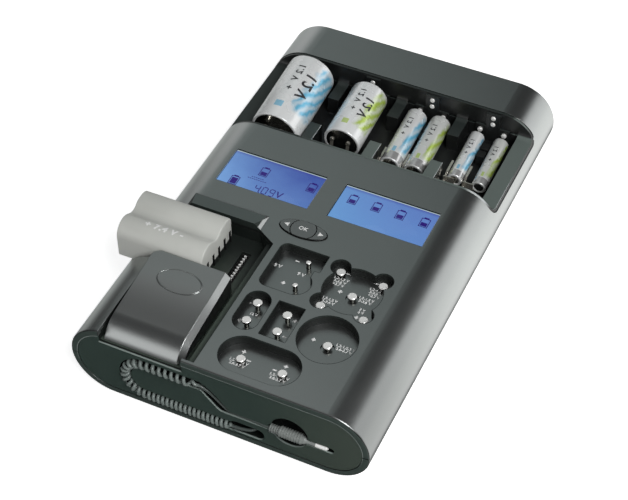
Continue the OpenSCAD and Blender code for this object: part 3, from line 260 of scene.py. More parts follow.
# %% Nodes and finishes
class Nodes:
    """A node tree, with one method that adds any node and a few that use it."""

    def __init__(self, tree):
        self.tree = tree

    def put(self, node, values):
        """Sets or links a node's sockets, by name or number."""
        for key, value in values.items():
            socket = node.inputs[key]
            if isinstance(value, Wire):
                self.tree.links.new(value.socket, socket)
            else:
                socket.default_value = (*value, 1) if socket.type == "RGBA" else value

    def add(self, kind, settings=None, values=None, out=0):
        """Adds a node: its settings, then its sockets, and gives one output back."""
        node = self.tree.nodes.new(kind)
        for key, value in (settings or {}).items():
            if key == "stops":
                ramp = node.color_ramp.elements
                for place, _ in value[1:-1]:
                    ramp.new(place)
                for element, (place, colour) in zip(ramp, value):
                    element.position, element.color = place, (*colour, 1)
            else:
                setattr(node, key, value)
        self.put(node, values or {})
        return Wire(self, node.outputs[out])

    def split(self, vector):
        """The three numbers of a vector."""
        parts = self.add("ShaderNodeSeparateXYZ", values={"Vector": vector}).socket.node
        return [Wire(self, socket) for socket in parts.outputs]

    def place(self):
        """The point on the surface, in metres, in the piece's own frame."""
        return self.add("ShaderNodeTexCoord", out="Object")

    def millimetres(self):
        """The same point as three numbers in millimetres."""
        return [part * 1000 for part in self.split(self.place())]

    def facing(self):
        """The way the surface faces in the same frame, as three numbers."""
        return self.split(self.add("ShaderNodeTexCoord", out="Normal"))

    def grain(self, size, detail=2.0):
        """Noise from 0 to 1, with spots about size millimetres wide."""
        return self.add("ShaderNodeTexNoise", values={
            "Vector": self.place(), "Scale": 1000 / size, "Detail": detail, "Roughness": 0.6})

    def blend(self, share, a, b):
        """Colour a where share is 0, and b where it is 1."""
        return self.add("ShaderNodeMix", {"data_type": "RGBA"}, {0: share, 6: a, 7: b}, out=2)

    def shades(self, share, colour, low, high):
        """A colour between two shades of itself."""
        return self.blend(share, [c * low for c in colour], [c * high for c in colour])

    def edge_line(self, reach):
        """1 beside a sharp edge, where a normal rounded over reach millimetres leaves the
        true one."""
        rounded = self.add("ShaderNodeBevel", {"samples": 8}, {"Radius": reach / 1000})
        true = self.add("ShaderNodeNewGeometry", out="True Normal")
        alike = self.add("ShaderNodeVectorMath", {"operation": "DOT_PRODUCT"},
                         {0: rounded, 1: true}, out="Value")
        return (1 - alike).above(0.04, 0.06)


class Finish(Nodes):
    """A material with one Principled shader."""

    def __init__(self, name, colour, **sockets):
        self.material = bpy.data.materials.new(name)
        self.material.use_nodes = True
        super().__init__(self.material.node_tree)
        self.shader = self.tree.nodes["Principled BSDF"]
        self.set(Base_Color=colour, **sockets)

    def set(self, **sockets):
        """Links or sets sockets of the Principled shader."""
        self.put(self.shader, {k.replace("_", " "): v for k, v in sockets.items()})
        return self

    def relief(self, height, depth, edge=0.0):
        """Bump of that depth in millimetres, over edges rounded by edge millimetres."""
        values = {"Height": height, "Distance": depth / 1000, "Strength": 1.0}
        if edge:
            values["Normal"] = self.add("ShaderNodeBevel", {"samples": 6}, {"Radius": edge / 1000})
        self.set(Normal=self.add("ShaderNodeBump", values=values))

    def surface(self, shader):
        """Gives the material's output another shader."""
        self.put(self.tree.nodes["Material Output"], {"Surface": shader})


print("finishes ready")

# %% [markdown]
# The housing is an extruded tube with a dark metallic lacquer. It looks dark grey
# from above and pale silver where its round side mirrors the bright table, so it is
# metallic, with a fine speckle and edges that catch a thin line of light. The upright
# walls of its recesses and cuts and the bar behind the camera bay are bare dark
# plastic, with painted shade down the recess walls. A dark line of painted shade follows the edges
# of the recesses and the key pad, a painted highlight line runs inside the front rim, and painted
# shade darkens the front edge and the front of the right flank.

# %% Housing lacquer
LACQUER = (0.455, 0.475, 0.470)
WALL_SHADE, FRONT_BARE, BAR_TOP = (0.012, 0.014, 0.013), (0.048, 0.068, 0.060), (0.098, 0.122, 0.116)
SHADED_LACQUER, PIT_EDGE_SHADE, EDGE_HIGHLIGHT = (0.03, 0.03, 0.03), (0.02, 0.025, 0.023), (0.24, 0.28, 0.265)
SPINE_X, SPINE_Z = 71.5, 28.5


def lacquer(name, edge, walls_within, crown=0.0):
    """Dark satin lacquer with a metallic speckle. Front and rear faces are bare, and so are
    upright walls nearer the middle than walls_within. A crown bends the front of a flat top."""
    made = Finish(name, LACQUER, Specular_IOR_Level=0.25)
    speckle, cloud = made.grain(0.35, 1), made.grain(60, 3)
    _, ny, nz = made.facing()
    x, y, z = made.millimetres()
    inner = 1 - abs(x).above(walls_within, 2)
    bare = (1 - abs(nz).above(0.55, 0.2)) * inner.most(abs(ny).above(0.8, 0.1))
    bar = z.above(55.7, 0.2) * x.within(-82, -28.8, 0.6) * y.within(-44, -28.5, 0.4)
    bare = bare.most(bar)
    pits = x.within(-11.8, 70, 0.6) * y.within(-150, -41, 1)
    pits = (pits + x.within(-21, 16, 1) * y.within(-41, -21, 1)) * z.above(53, 0.5)
    coated = made.shades(speckle * 0.35 + cloud * 0.25, LACQUER, 0.82, 1.3)
    # Painted shade: the lacquer is darkened along its front edge and on the front of its right
    # flank.
    lacquer_shade = (1 - y.above(-156.9, 0.4)) * 0.8 + x.above(86, 12) * (1 - y.above(-70, 190)) * 0.42
    coated = made.blend(lacquer_shade, coated, SHADED_LACQUER)
    # Painted shade: a dark line along the edges of the recesses and the key pad.
    if edge:
        coated = made.blend(pits * made.edge_line(0.9), coated, PIT_EDGE_SHADE)
    front = 1 - y.above(-155.5, 0.5)
    beyond, height = (abs(x) - SPINE_X).most(0), z - SPINE_Z
    from_spine = (beyond * beyond + height * height).maths("SQRT")
    # Painted highlight: a pale line just inside the front rim.
    rim_highlight_line = from_spine.within(22.35, 22.95, 0.25) * front * height.above(-4, 12)
    # Bare faces away from the front are near black, which on the recess walls is painted shade;
    # near the deck their top lip is painted paler.
    plain = made.blend(front.most(z.above(54.6, 0.6) * 0.35), WALL_SHADE, FRONT_BARE)
    plain = made.blend(rim_highlight_line, plain, EDGE_HIGHLIGHT)
    plain = made.blend(bar * nz.above(0.8, 0.1), plain, BAR_TOP)
    made.set(Base_Color=made.blend(bare, coated, plain), Metallic=1 - bare,
             Roughness=0.25 + speckle * 0.07 + cloud * 0.05 + bare * 0.25)
    made.relief(speckle * 0.004 + y.above(-132.5, 55) * crown, 1.0, edge and (1 - pits) * edge)
    return made


housing_lacquer = lacquer("housing_lacquer", 0.5, 70)
pit_lacquer = lacquer("pit_lacquer", 0, 70)
slider_lacquer = lacquer("slider_lacquer", 0.5, 5, 7.3)
print("lacquers made")

# %% [markdown]
# The moulded parts are plain black or dark plastic with a faint spark-eroded grain.
# Most have one even colour. A few have a paint of their own, mostly painted light and
# shade: their ledges, edges and ends are painted paler or darker than the rest.

# %% Paints of the moulded parts
PANEL, LIT_PLASTIC = (0.036, 0.060, 0.051), (0.062, 0.082, 0.066)
LINER, STEP_SHADE, STEP_LIT = (0.011, 0.012, 0.012), (0.028, 0.035, 0.033), (0.138, 0.168, 0.156)
KEY_GREY = (0.125, 0.140, 0.138)


def panel_light_and_shade(made):
    """Panel: painted light paler to the right, painted shade black in its grooves, and painted
    highlights on the ledges at its face.
    """
    x, y, _ = made.millimetres()
    tone = made.blend(x.above(55, 90), PANEL, LIT_PLASTIC)
    tone = made.blend(y.above(-156.2, 0.5), tone, (0.006, 0.008, 0.007))
    ledge = made.facing()[2].above(0.55, 0.2) * (1 - y.above(-156.1, 0.3))
    return made.blend(ledge, tone, (0.26, 0.31, 0.29))


def tub_shade(made):
    """Camera tub: painted shade, near black deep in the recess, with its level faces painted paler
    towards the front.
    """
    lit_front_floor = made.facing()[2].above(0.7, 0.2) * (1 - made.millimetres()[1].above(-76, 50))
    return made.blend(lit_front_floor, (0.014, 0.018, 0.016), LIT_PLASTIC)


def liner_light_and_shade(made):
    """Liner: painted light on its high ledges, paler to the right and painted shade towards the
    back, with painted highlights on their right edges in front.
    """
    x, y, z = made.millimetres()
    step = made.facing()[2].above(0.7, 0.2) * z.above(38, 1)
    rounded = made.add("ShaderNodeBevel", {"samples": 8}, {"Radius": mm(0.9)})
    right_edge_highlight = made.split(rounded)[0].above(0.2, 0.2)
    tone = made.blend(x.above(-28, 60), STEP_SHADE, STEP_LIT)
    tone = made.blend(y.above(92, 24) * (1 - x.above(80, 3)), tone, STEP_SHADE)
    tone = made.blend(right_edge_highlight * (1 - y.above(80, 10)), tone, (0.62, 0.66, 0.66))
    return made.blend(step, LINER, tone)


def key_paint(made):
    """Key cap: a grey top inside a black line."""
    cap_top = made.facing()[2].above(0.8, 0.15)
    return made.blend(cap_top * (1 - made.edge_line(0.55)), (0.008, 0.009, 0.009), KEY_GREY)


def cord_light_and_shade(made):
    """Cord: one wire, its coil painted pale as painted light and its plain runs in their grooves
    painted dark as painted shade.
    """
    x, _, z = made.millimetres()
    high = z.above(20, 2)
    shaded_run = (high * x.above(-11, 3)).most(x.above(9.5, 2) * (1 - high))
    coil = made.blend(made.grain(35, 3), (0.16, 0.19, 0.18), (0.22, 0.26, 0.245))
    return made.blend(shaded_run, coil, (0.07, 0.085, 0.08))


print("paints ready")


# %% Moulded plastics and rubber
def moulded(name, colour, rough, grain_size=0.5, depth=0.008, edge=0.4, paint=None):
    """Moulded plastic or rubber: faint grain, softened edges, an even colour or a paint."""
    made = Finish(name, colour)
    pores, smudge = made.grain(grain_size, 2), made.grain(35, 3)
    made.set(Roughness=rough - 0.05 + smudge * 0.1, Base_Color=paint(made) if paint else
             made.shades(smudge * 0.5 + pores * 0.2, colour, 0.85, 1.18))
    made.relief(pores, depth, edge)
    return made


panel_plastic = moulded("panel_plastic", PANEL, 0.40, paint=panel_light_and_shade)
tub_plastic = moulded("tub_plastic", (0.020, 0.025, 0.023), 0.36, paint=tub_shade)
liner_plastic = moulded("liner_plastic", LINER, 0.34, paint=liner_light_and_shade)
key_plastic = moulded("key_plastic", KEY_GREY, 0.40, edge=0.35, paint=key_paint)
block_plastic = moulded("block_plastic", (0.008, 0.008, 0.008), 0.5)
soft_rubber = moulded("soft_rubber", (0.016, 0.016, 0.016), 0.75, 0.8, 0.02)
cord_rubber = moulded("cord_rubber", (0.19, 0.225, 0.21), 0.32, 0.6, 0.006, 0, cord_light_and_shade)
grip_rubber = moulded("grip_rubber", (0.24, 0.26, 0.25), 0.36, 0.6, 0.006, 0)
board_mask = moulded("board_mask", (0.012, 0.075, 0.035), 0.3, 2.5, 0.02)
board_plastic = moulded("board_plastic", (0.02, 0.02, 0.022), 0.45)
print("plastics made")

# %% [markdown]
# Contacts, springs and screws are plated metal with a low roughness that varies a
# little, because handling leaves faint marks. Satin nickel scatters, so it is only
# part metallic. Studs keep their bright plating on top, with painted shade down their
# stems, and pins have a painted highlight on one stretch, painted shade on the rest.

# %% Plated metals
BRIGHT, STEM_SHADE = (0.98, 0.98, 0.96), (0.10, 0.10, 0.09)


def stud_stem_shade(made):
    """Stud: its bright plating on top, with painted shade down its stem."""
    top_facing = made.facing()[2].above(0.45, 0.2)
    made.set(Metallic=1 - top_facing * 0.75)
    return made.blend(top_facing, STEM_SHADE, BRIGHT)


def pin_highlight(made):
    """Pin: a painted highlight along the middle of its head, and painted shade on the rest."""
    middle = made.millimetres()[0].within(-31.3, -29.6, 0.15)
    return made.blend(middle, (0.008, 0.008, 0.008), BRIGHT)


def plated(name, colour, rough, metallic=1.0, paint=None):
    """Bright plated metal with faint marks."""
    made = Finish(name, colour, Metallic=metallic)
    marks = made.grain(1.2, 3)
    made.set(Roughness=rough + marks * 0.1, Base_Color=paint(made) if paint else
             made.shades(marks, colour, 0.9, 1))
    made.relief(marks, 0.004, 0.15)
    return made


stud_plate = plated("stud_plate", BRIGHT, 0.3, 0.25)
stud_stem = plated("stud_stem", STEM_SHADE, 0.2, paint=stud_stem_shade)
pin_plate = plated("pin_plate", (0.95, 0.95, 0.92), 0.25, 0.3, pin_highlight)
spring_plate = plated("spring_plate", (0.80, 0.77, 0.68), 0.18, 0.85)
tip_plate = plated("tip_plate", (1.0, 1.0, 0.98), 0.2, 0.0)
screw_zinc = plated("screw_zinc", (0.62, 0.62, 0.60), 0.28)
print("metals made")

# %% [markdown]
# The solids whose shape is already right keep their mesh and only take a finish.

# %% Dressing the solids
DRESSES = {
    housing_lacquer: "upper_shell lower_shell",
    pit_lacquer: "recess_tub",
    tub_plastic: "camera_tub",
    slider_lacquer: "clamp_slider",
    panel_plastic: "front_panel rear_panel",
    liner_plastic: "bay_liner",
    key_plastic: "key_left key_ok key_right",
    block_plastic: "contact_block dc_inlet cord_grommet lcd_left lcd_right",
    soft_rubber: "rubber_feet key_mat",
    pin_plate: "contact_pins",
    stud_plate: "rear_contacts_d rear_contacts_c rear_contacts_aa rear_contacts_aaa",
    stud_stem: "studs_nine_volt studs_lobed studs_slot studs_square stud_round studs_capsule",
    spring_plate: "front_contact_d front_contact_c front_contact_aa front_contact_aaa",
    screw_zinc: "case_screws board_screws",
    board_mask: "display_board test_board main_board",
    board_plastic: "board_parts"}
for finish, names in DRESSES.items():
    for name in names.split():
        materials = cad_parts[name].data.materials
        materials.clear()
        materials.append(finish.material)
cord.data.materials.append(cord_rubber.material)
print("solids dressed")

# %% [markdown]
# New pieces come from a few shapes. A turned piece spins a profile round its own Y
# axis. A plate fills an outline and rounds its edges. Both end as a plain mesh whose
# curved faces are smooth and whose sharp edges stay sharp.


# %% Making meshes
def piece(name, mesh, finishes, body="housing", place=None, stands_for=(), crease=38):
    """A mesh as a piece that rides on a body."""
    mesh.name = name
    mesh.shade_smooth()
    mesh.set_sharp_from_angle(angle=math.radians(crease))
    for finish in finishes:
        mesh.materials.append(finish.material)
    made = in_scene(name, mesh)
    if place:
        made.matrix_world = place
    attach(made, body)
    if stands_for:
        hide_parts(*stands_for)
    return made


def as_mesh(body, outward=False):
    """The finished bmesh as a mesh, its faces turned outward where asked."""
    if outward:
        bmesh.ops.recalc_face_normals(body, faces=body.faces)
    mesh = bpy.data.meshes.new("shape")
    body.to_mesh(mesh)
    body.free()
    return mesh


def skin(body, loops, numbers=None):
    """Faces from each loop of points to the next; numbers gives each band its finish."""
    for i, (a, b) in enumerate(zip(loops, loops[1:])):
        for k in range(len(a)):
            n = (k + 1) % len(a)
            face = body.faces.new((a[k], b[k], b[n], a[n]))
            face.material_index = numbers[i] if numbers else 0


def circle(count):
    """Angles of evenly spaced points round a circle."""
    return [math.tau * k / count for k in range(count)]


def turned(profile, segments=48):
    """Mesh of a profile of (along, radius) spun round the Y axis, in millimetres. A third
    number gives the finish of the band that ends there."""
    body = bmesh.new()
    rings = [[body.verts.new(mm(radius * math.cos(a), along, radius * math.sin(a)))
              for a in circle(segments)] for along, radius, *_ in profile]
    skin(body, rings, [(*point, 0)[2] for point in profile[1:]])
    bmesh.ops.remove_doubles(body, verts=body.verts, dist=1e-6)
    return as_mesh(body, True)


def drawn_out(outline, lift, edge=0.0):
    """Mesh of a flat outline of points in millimetres, drawn out along lift and rounded."""
    body = bmesh.new()
    face = body.faces.new([body.verts.new(mm(*p)) for p in outline])
    moved = bmesh.ops.extrude_face_region(body, geom=[face])["geom"]
    moved = [v for v in moved if isinstance(v, bmesh.types.BMVert)]
    bmesh.ops.translate(body, verts=moved, vec=mm(*lift))
    bmesh.ops.recalc_face_normals(body, faces=body.faces)
    if edge:
        sharp = [e for e in body.edges
                 if len(e.link_faces) == 2 and e.calc_face_angle() > math.radians(30)]
        bmesh.ops.bevel(body, geom=sharp, offset=mm(edge), segments=3, profile=0.5,
                        affect="EDGES")
    return as_mesh(body)


print("mesh helpers ready")

# %% [markdown]
# A round cell is a steel can in a printed wrap: white with one soft field of colour
# on its flank. The can's cut end shows inside a rolled rim, and the button is bare
# metal. The wrap is painted in the cell's own frame, where Y runs along its axis.

# %% The printed wrap
WRAP_TURN = math.radians(28)
SKY, LIME = (0.16, 0.55, 0.80), (0.50, 0.68, 0.10)
WHITE_WRAP, SILVER_WRAP = (0.94, 0.96, 0.96), (0.82, 0.84, 0.82)


def wrap_finish(name, tint, pale, radius, length, metallic):
    """White wrap with a tinted field on its flank and a small tinted block, in millimetres."""
    made = Finish(name, pale, Metallic=metallic, Coat_Weight=0.5, Coat_Roughness=0.12)
    x, along, z = made.millimetres()
    around = z.maths("ARCTAN2", x) - WRAP_TURN
    across = around.maths("WRAP", math.pi, -math.pi) * radius
    wave = made.grain(10, 2) - 0.5
    bow = abs(across + (along - length * 0.5) * 0.18 + wave * radius * 0.8) / (radius * 0.6)
    field = (1 - bow.above(0.9, 0.5)) * along.within(length * 0.2, length * 0.94, length * 0.1)
    swirl = along * 0.55 + across * 0.9 + wave * 9
    field = field * (swirl.maths("SINE") * 0.3 + 0.7)
    block = 1 - abs(across - radius * 1.15).above(radius * 0.17, 0.25)
    block = block * along.within(length * 0.15, length * 0.24, 0.25)
    made.set(Base_Color=made.blend(field.most(block * 0.8), pale, tint),
             Roughness=0.27 + wave * 0.08)
    made.relief(made.grain(1.5, 2), 0.003)
    return made


can_steel = plated("can_steel", (0.45, 0.45, 0.44), 0.14)
can_band = plated("can_band", (0.80, 0.80, 0.80), 0.2, 0.7)
print("cell finishes ready")

# %% [markdown]
# Each cell lies on the sloping floor of its slot. Its frame starts in the middle of
# its near end, turned by the slope, so one row of a table places each of the six.

# %% The cells
DECK = 55.5
SLOPE = math.radians(5.2)
SLOT_X = [-66.15, -22.05, 22.05, 66.15]
SLOT_FRONT, SHOULDER_Y, PAIR = 46.7, 118.1, 8.6
FLOOR_AT = DECK - 30 + (SLOT_FRONT - 80) * math.tan(SLOPE)
# X, radius, length, radius and height of the button, tint, wrap, bare band in front,
# height of the print and its place along the cell
CELLS = {
    "d_cell": (SLOT_X[0], 17.1, 61.5, 4.7, 1.5, SKY, WHITE_WRAP, 0, 4.8, 38),
    "c_cell": (SLOT_X[1], 13.1, 50, 3.6, 1.5, LIME, WHITE_WRAP, 0, 4.0, 31),
    "aa_cell_left": (SLOT_X[2] - PAIR, 7.2, 50.5, 2.736, 1, SKY, WHITE_WRAP, 6.5, 3.3, 32),
    "aa_cell_right": (SLOT_X[2] + PAIR, 7.2, 50.5, 2.736, 1, LIME, SILVER_WRAP, 6.5, 3.3, 32),
    "aaa_cell_left": (SLOT_X[3] - PAIR, 5.2, 44.5, 1.976, 1, SKY, WHITE_WRAP, 5, 2.7, 28),
    "aaa_cell_right": (SLOT_X[3] + PAIR, 5.2, 44.5, 1.976, 1, LIME, SILVER_WRAP, 5, 2.7, 28)}


def cell_frame(cell):
    """Frame at the near end of a cell that lies in its slot."""
    x, radius, length, _, button, *_ = CELLS[cell]
    near = (SHOULDER_Y - SLOT_FRONT) / math.cos(SLOPE) - length + button
    return (Matrix.Translation(mm(x, SLOT_FRONT, FLOOR_AT)) @ Matrix.Rotation(SLOPE, 4, "X")
            @ Matrix.Translation(mm(0, near, radius + 0.1)))


def round_cell(name):
    """One cell: rolled rim and steel end in front, printed wrap, bare button behind."""
    _, r, length, button_r, button, tint, pale, bare, *_ = CELLS[name]
    body = length - button
    profile = [(0.7, 0, 1), (0.7, r - 2.3, 1), (0.5, r - 1.9, 1), (0.15, r - 1.6), (0, r - 1.1),
               (0.05, r - 0.6), (0.3, r - 0.15), (0.7, r), (0.7 + bare, r, 2 if bare else 0),
               (body - 1.5, r), (body - 0.8, r - 0.12), (body - 0.25, r - 0.55),
               (body, r - 1.1), (body - 0.1, r * 0.72), (body - 0.25, r * 0.7, 1),
               (body - 0.2, button_r + 0.5, 1), (body, button_r, 1),
               (length - 0.35, button_r, 1), (length - 0.05, button_r - 0.35, 1), (length, 0, 1)]
    wrap = wrap_finish(name + "_wrap", tint, pale, r, body, 0.3 if bare else 0.22)
    piece(name + "_body", turned(profile, 64), [wrap, can_steel, can_band],
          place=cell_frame(name),
          stands_for=(name,), crease=50)


for cell in CELLS:
    round_cell(cell)
print("cells made:", ", ".join(CELLS))

# %% [markdown]
# Printed marks are thin ink on a surface. Numbers and signs are made as text, turned
# into a mesh, and laid a hair above the surface. On a cell the mesh is cut small and
# bent round it, so no corner of a letter stands off.

# %% Ink and letters
CAPITAL = 0.72


def ink(name, rough, thin, thick, spots=0.8, **sockets):
    """Printed ink that varies a little between two tones."""
    made = Finish(name, thick, Roughness=rough, **sockets)
    return made.set(Base_Color=made.blend(made.grain(spots, 2), thin, thick))


ink_white = ink("ink_white", 0.5, (0.86, 0.87, 0.86), (0.98, 0.98, 0.97))
ink_dark = ink("ink_dark", 0.45, (0.02, 0.02, 0.025), (0.05, 0.05, 0.055))


def letters(text, height, spacing=1.0, weight=0.02):
    """Mesh of a short text, its middle at the origin, its capitals height millimetres high."""
    curve = bpy.data.curves.new("letters", "FONT")
    curve.body, curve.size, curve.space_character = text, mm(height) / CAPITAL, spacing
    curve.align_x, curve.align_y = "CENTER", "CENTER"
    curve.extrude, curve.offset, curve.resolution_u = mm(0.03), mm(height * weight), 3
    holder = bpy.data.objects.new("letters", curve)
    mesh = bpy.data.meshes.new_from_object(holder)
    bpy.data.objects.remove(holder)
    bpy.data.curves.remove(curve)
    return mesh


def flat_text(name, lines, z, finish, spacing=1.0, weight=0.02, body="housing"):
    """One piece of flat lines of text, each (text, x, y, height)."""
    sheet = bmesh.new()
    for text, x, y, height in lines:
        start = len(sheet.verts)
        sheet.from_mesh(letters(text, height, spacing, weight))
        sheet.verts.ensure_lookup_table()
        bmesh.ops.translate(sheet, vec=mm(x, y, z), verts=sheet.verts[start:])
    piece(name, as_mesh(sheet), [finish], body)


def bent_letters(text, height, spacing, weight, bend):
    """Text cut fine and then bent by a function of each point."""
    body = bmesh.new()
    body.from_mesh(letters(text, height, spacing, weight))
    for _ in range(2):
        long_edges = [e for e in body.edges if e.calc_length() > mm(0.9)]
        bmesh.ops.subdivide_edges(body, edges=long_edges, cuts=1)
        bmesh.ops.triangulate(body, faces=body.faces)
    for vert in body.verts:
        vert.co = bend(vert.co)
    return as_mesh(body)


print("inks and letters ready")


# %% Prints on the cells
def cell_print(name, cell, text, height, angle, along, spacing=1.15):
    """Dark text bent round a cell, reading along it."""
    radius = CELLS[cell][1]

    def bend(point):
        turn = math.radians(angle) + point.y / mm(radius)
        reach = mm(radius + 0.08) + point.z
        return Vector((reach * math.cos(turn), mm(along) - point.x, reach * math.sin(turn)))

    piece(name, bent_letters(text, height, spacing, 0.035, bend), [ink_dark],
          place=cell_frame(cell))


for cell, (*_, height, along) in CELLS.items():
    cell_print(cell.replace("_cell_", "_") + "_volts", cell, "1.2 V  +", height, 92, along)
cell_print("d_cell_size", "d_cell", "1.2 V", 8, 58, 34, 1.0)
cell_print("c_cell_size", "c_cell", "1.2 V", 6.4, 58, 27, 1.0)
print("cells printed")

# %% [markdown]
# A display is a backlit film bonded under a clear window. The film glows a purple
# blue, paler towards its left and front edges, with a painted shadow band and a painted
# highlight line along its back edge. Its marks are dark segments: the outline of a cell
# with a filled foot, and seven-segment digits.

# %% The display film
DISPLAY_X, DISPLAY_Y, DISPLAY_W, DISPLAY_L = (-41.1, 37.5), 2.2, 64.5, 31.2
FRONT_EDGE, BACK_EDGE = DISPLAY_Y - DISPLAY_L / 2, DISPLAY_Y + DISPLAY_L / 2
FILM_TOP = DECK - 1.0


def film_finish(name, x_middle, deep, bright):
    """Backlit film, brighter towards its left and front edges."""
    made = Finish(name, deep, Roughness=0.35)
    x, y, _ = made.millimetres()
    left = 1 - (x - (x_middle - DISPLAY_W / 2)) / DISPLAY_W
    front = 1 - (y - FRONT_EDGE) / DISPLAY_L
    glow = left * left * 0.62 + front * 0.38 + (made.grain(14, 2) - 0.5) * 0.25
    colour = made.blend(glow, deep, bright)
    # Painted shadow: a dark band near the back edge. Painted highlight: a pale line along that
    # edge.
    colour = made.blend(y.above(BACK_EDGE - 2.2, 2.4) * 0.6, colour, (0.06, 0.05, 0.30))
    colour = made.blend(y.above(BACK_EDGE - 0.75, 0.2), colour, (0.62, 0.72, 0.62))
    made.set(Base_Color=made.blend(glow, [c * 0.3 for c in deep], [c * 0.3 for c in bright]),
             Emission_Color=colour, Emission_Strength=0.8)
    return made


film_left = film_finish("film_left", DISPLAY_X[0], (0.056, 0.100, 0.36), (0.215, 0.41, 0.70))
film_right = film_finish("film_right", DISPLAY_X[1], (0.135, 0.235, 0.53), (0.16, 0.365, 0.64))
segment_ink = ink("segment_ink", 0.4, (0.015, 0.005, 0.08), (0.025, 0.008, 0.12), 1,
                  Emission_Color=(0.04, 0.012, 0.26), Emission_Strength=0.4)
print("films ready")

# %% Windows and films
window_clear = Finish("window_clear", (0.92, 0.94, 1.0), Roughness=0.03)
clear = window_clear.add("ShaderNodeBsdfTransparent", values={"Color": (0.93, 0.95, 1.0)})
shine = window_clear.add("ShaderNodeBsdfGlossy", values={"Color": (1, 1, 1), "Roughness": 0.04})
behind = window_clear.add("ShaderNodeNewGeometry", out="Backfacing")
glance = window_clear.add("ShaderNodeFresnel", values={"IOR": 1.42}) * (1 - behind)
window_clear.surface(window_clear.add("ShaderNodeMixShader",
                                      values={0: glance, 1: clear, 2: shine}))


def flat_block(low, high, edge=0.0):
    """Plate between two corners, its edges rounded."""
    (x0, y0, z0), (x1, y1, z1) = low, high
    return drawn_out([(x0, y0, z0), (x1, y0, z0), (x1, y1, z0), (x0, y1, z0)],
                     (0, 0, z1 - z0), edge)


for side, middle, film in (("left", DISPLAY_X[0], film_left), ("right", DISPLAY_X[1], film_right)):
    x0, x1 = middle - DISPLAY_W / 2, middle + DISPLAY_W / 2
    sheet = flat_block((x0 + 0.1, FRONT_EDGE + 0.1, DECK - 1.35),
                       (x1 - 0.1, BACK_EDGE - 0.1, FILM_TOP))
    piece("film_" + side, sheet, [film])
    pane = flat_block((x0, FRONT_EDGE, FILM_TOP + 0.06), (x1, BACK_EDGE, DECK - 0.15), 0.25)
    piece("window_glass_" + side, pane, [window_clear],
          stands_for=("window_" + side,))
print("displays made")

# %% [markdown]
# The marks of the displays are small bars, so a few lines of code draw a cell sign
# and any digit. Each sign is four bars for the outline, a nub, and a filled foot.

# %% Display marks
BOX_FACES = ((3, 2, 1, 0), (4, 5, 6, 7), (0, 1, 5, 4), (1, 2, 6, 5), (2, 3, 7, 6), (3, 0, 4, 7))
SEGMENTS = {"0": "abcdef", "4": "bcfg", "9": "abcdfg"}


def bars(boxes, z0, z1):
    """One mesh of flat bars, each (x0, y0, x1, y1) in millimetres."""
    body = bmesh.new()
    for x0, y0, x1, y1 in boxes:
        corners = [body.verts.new(mm(x, y, z)) for z in (z0, z1)
                   for x, y in ((x0, y0), (x1, y0), (x1, y1), (x0, y1))]
        for numbers in BOX_FACES:
            body.faces.new([corners[i] for i in numbers])
    return as_mesh(body)


def cell_sign(x, y, full):
    """Bars of a cell sign with its lower left corner at x, y."""
    w, h, t = 6.0, 7.8, 0.5
    return [(x, y, x + w, y + t), (x, y + h - t, x + w, y + h), (x, y, x + t, y + h),
            (x + w - t, y, x + w, y + h), (x + 1.3, y + h, x + w - 1.3, y + h + 0.9),
            (x + 0.9, y + 0.9, x + w - 0.9, y + 0.9 + full)]


def digit(sign, x, y):
    """Bars of a seven-segment digit."""
    w, h, t = 3.7, 6.6, 0.6
    m = y + h / 2
    place = {"a": (x + t, y + h - t, x + w - t, y + h), "b": (x + w - t, m + 0.2, x + w, y + h - t),
             "c": (x + w - t, y + t, x + w, m - 0.2), "d": (x + t, y, x + w - t, y + t),
             "e": (x, y + t, x + t, m - 0.2), "f": (x, m + 0.2, x + t, y + h - t),
             "g": (x + t, m - t / 2, x + w - t, m + t / 2)}
    return [place[s] for s in SEGMENTS[sign]]


left_signs = cell_sign(-51, 2.0, 3.2) + cell_sign(-65.8, -12.6, 5.6) + cell_sign(-17.1, 1.6, 3.2)
volts = sum((digit(sign, x, -12.6) for sign, x in (("4", -47.5), ("0", -42.4), ("9", -37.3))), [])
volts.append((-43.9, -12.6, -43.2, -11.9))
capacity = [(x + i * 1.5, y, x + 1 + i * 1.5, y + 0.5)
            for x, y, count in ((-56, -2.6, 9), (-54, -0.9, 6)) for i in range(count)]
right_signs = sum((cell_sign(x, 3.0, 3.2) for x in (11.1, 27.5, 43.9, 60.2)), [])
for side, boxes in (("left", left_signs + volts + capacity), ("right", right_signs)):
    piece("marks_" + side, bars(boxes, FILM_TOP - 0.02, FILM_TOP + 0.05), [segment_ink])
flat_text("marks_left_volt", [("V", -30.4, -9.4, 5.4)], FILM_TOP, segment_ink)
print("display marks made")

# %% [markdown]
# The key caps are bare plastic with one pale mark each: a triangle to either side and
# the letters of the middle key. The marks ride on the caps, so they move with them.

# %% Key marks
KEY_TOP = 56.4

for side, x, y, turn in (("left", -14, -31.3, 1), ("right", 9.3, -31.5, -1)):
    corners = ((-1.8, 0), (1.3, -1.7), (1.3, 1.7))[::turn]
    arrow = drawn_out([(x + turn * a, y + b, KEY_TOP - 0.02) for a, b in corners], (0, 0, 0.05))
    piece("mark_" + side, arrow, [ink_white], "key_" + side + "_cap")
flat_text("mark_ok", [("OK", -2.8, -31.2, 2.9)], KEY_TOP + 0.01, ink_white, 1.05, 0.03,
          "key_ok_cap")
print("key marks made")

# %% [markdown]
# Small printed signs stand beside the studs of the recesses: plus, minus and plain
# voltages. They are thin meshes of white ink on the floors.

# %% Signs in the recesses
PIT = 48.5
SIGN_W, PLUS_T, MINUS_T = 2.7, 0.95, 0.9


def centred(x, y, w, h):
    """Box of width w and height h around x, y."""
    return (x - w / 2, y - h / 2, x + w / 2, y + h / 2)


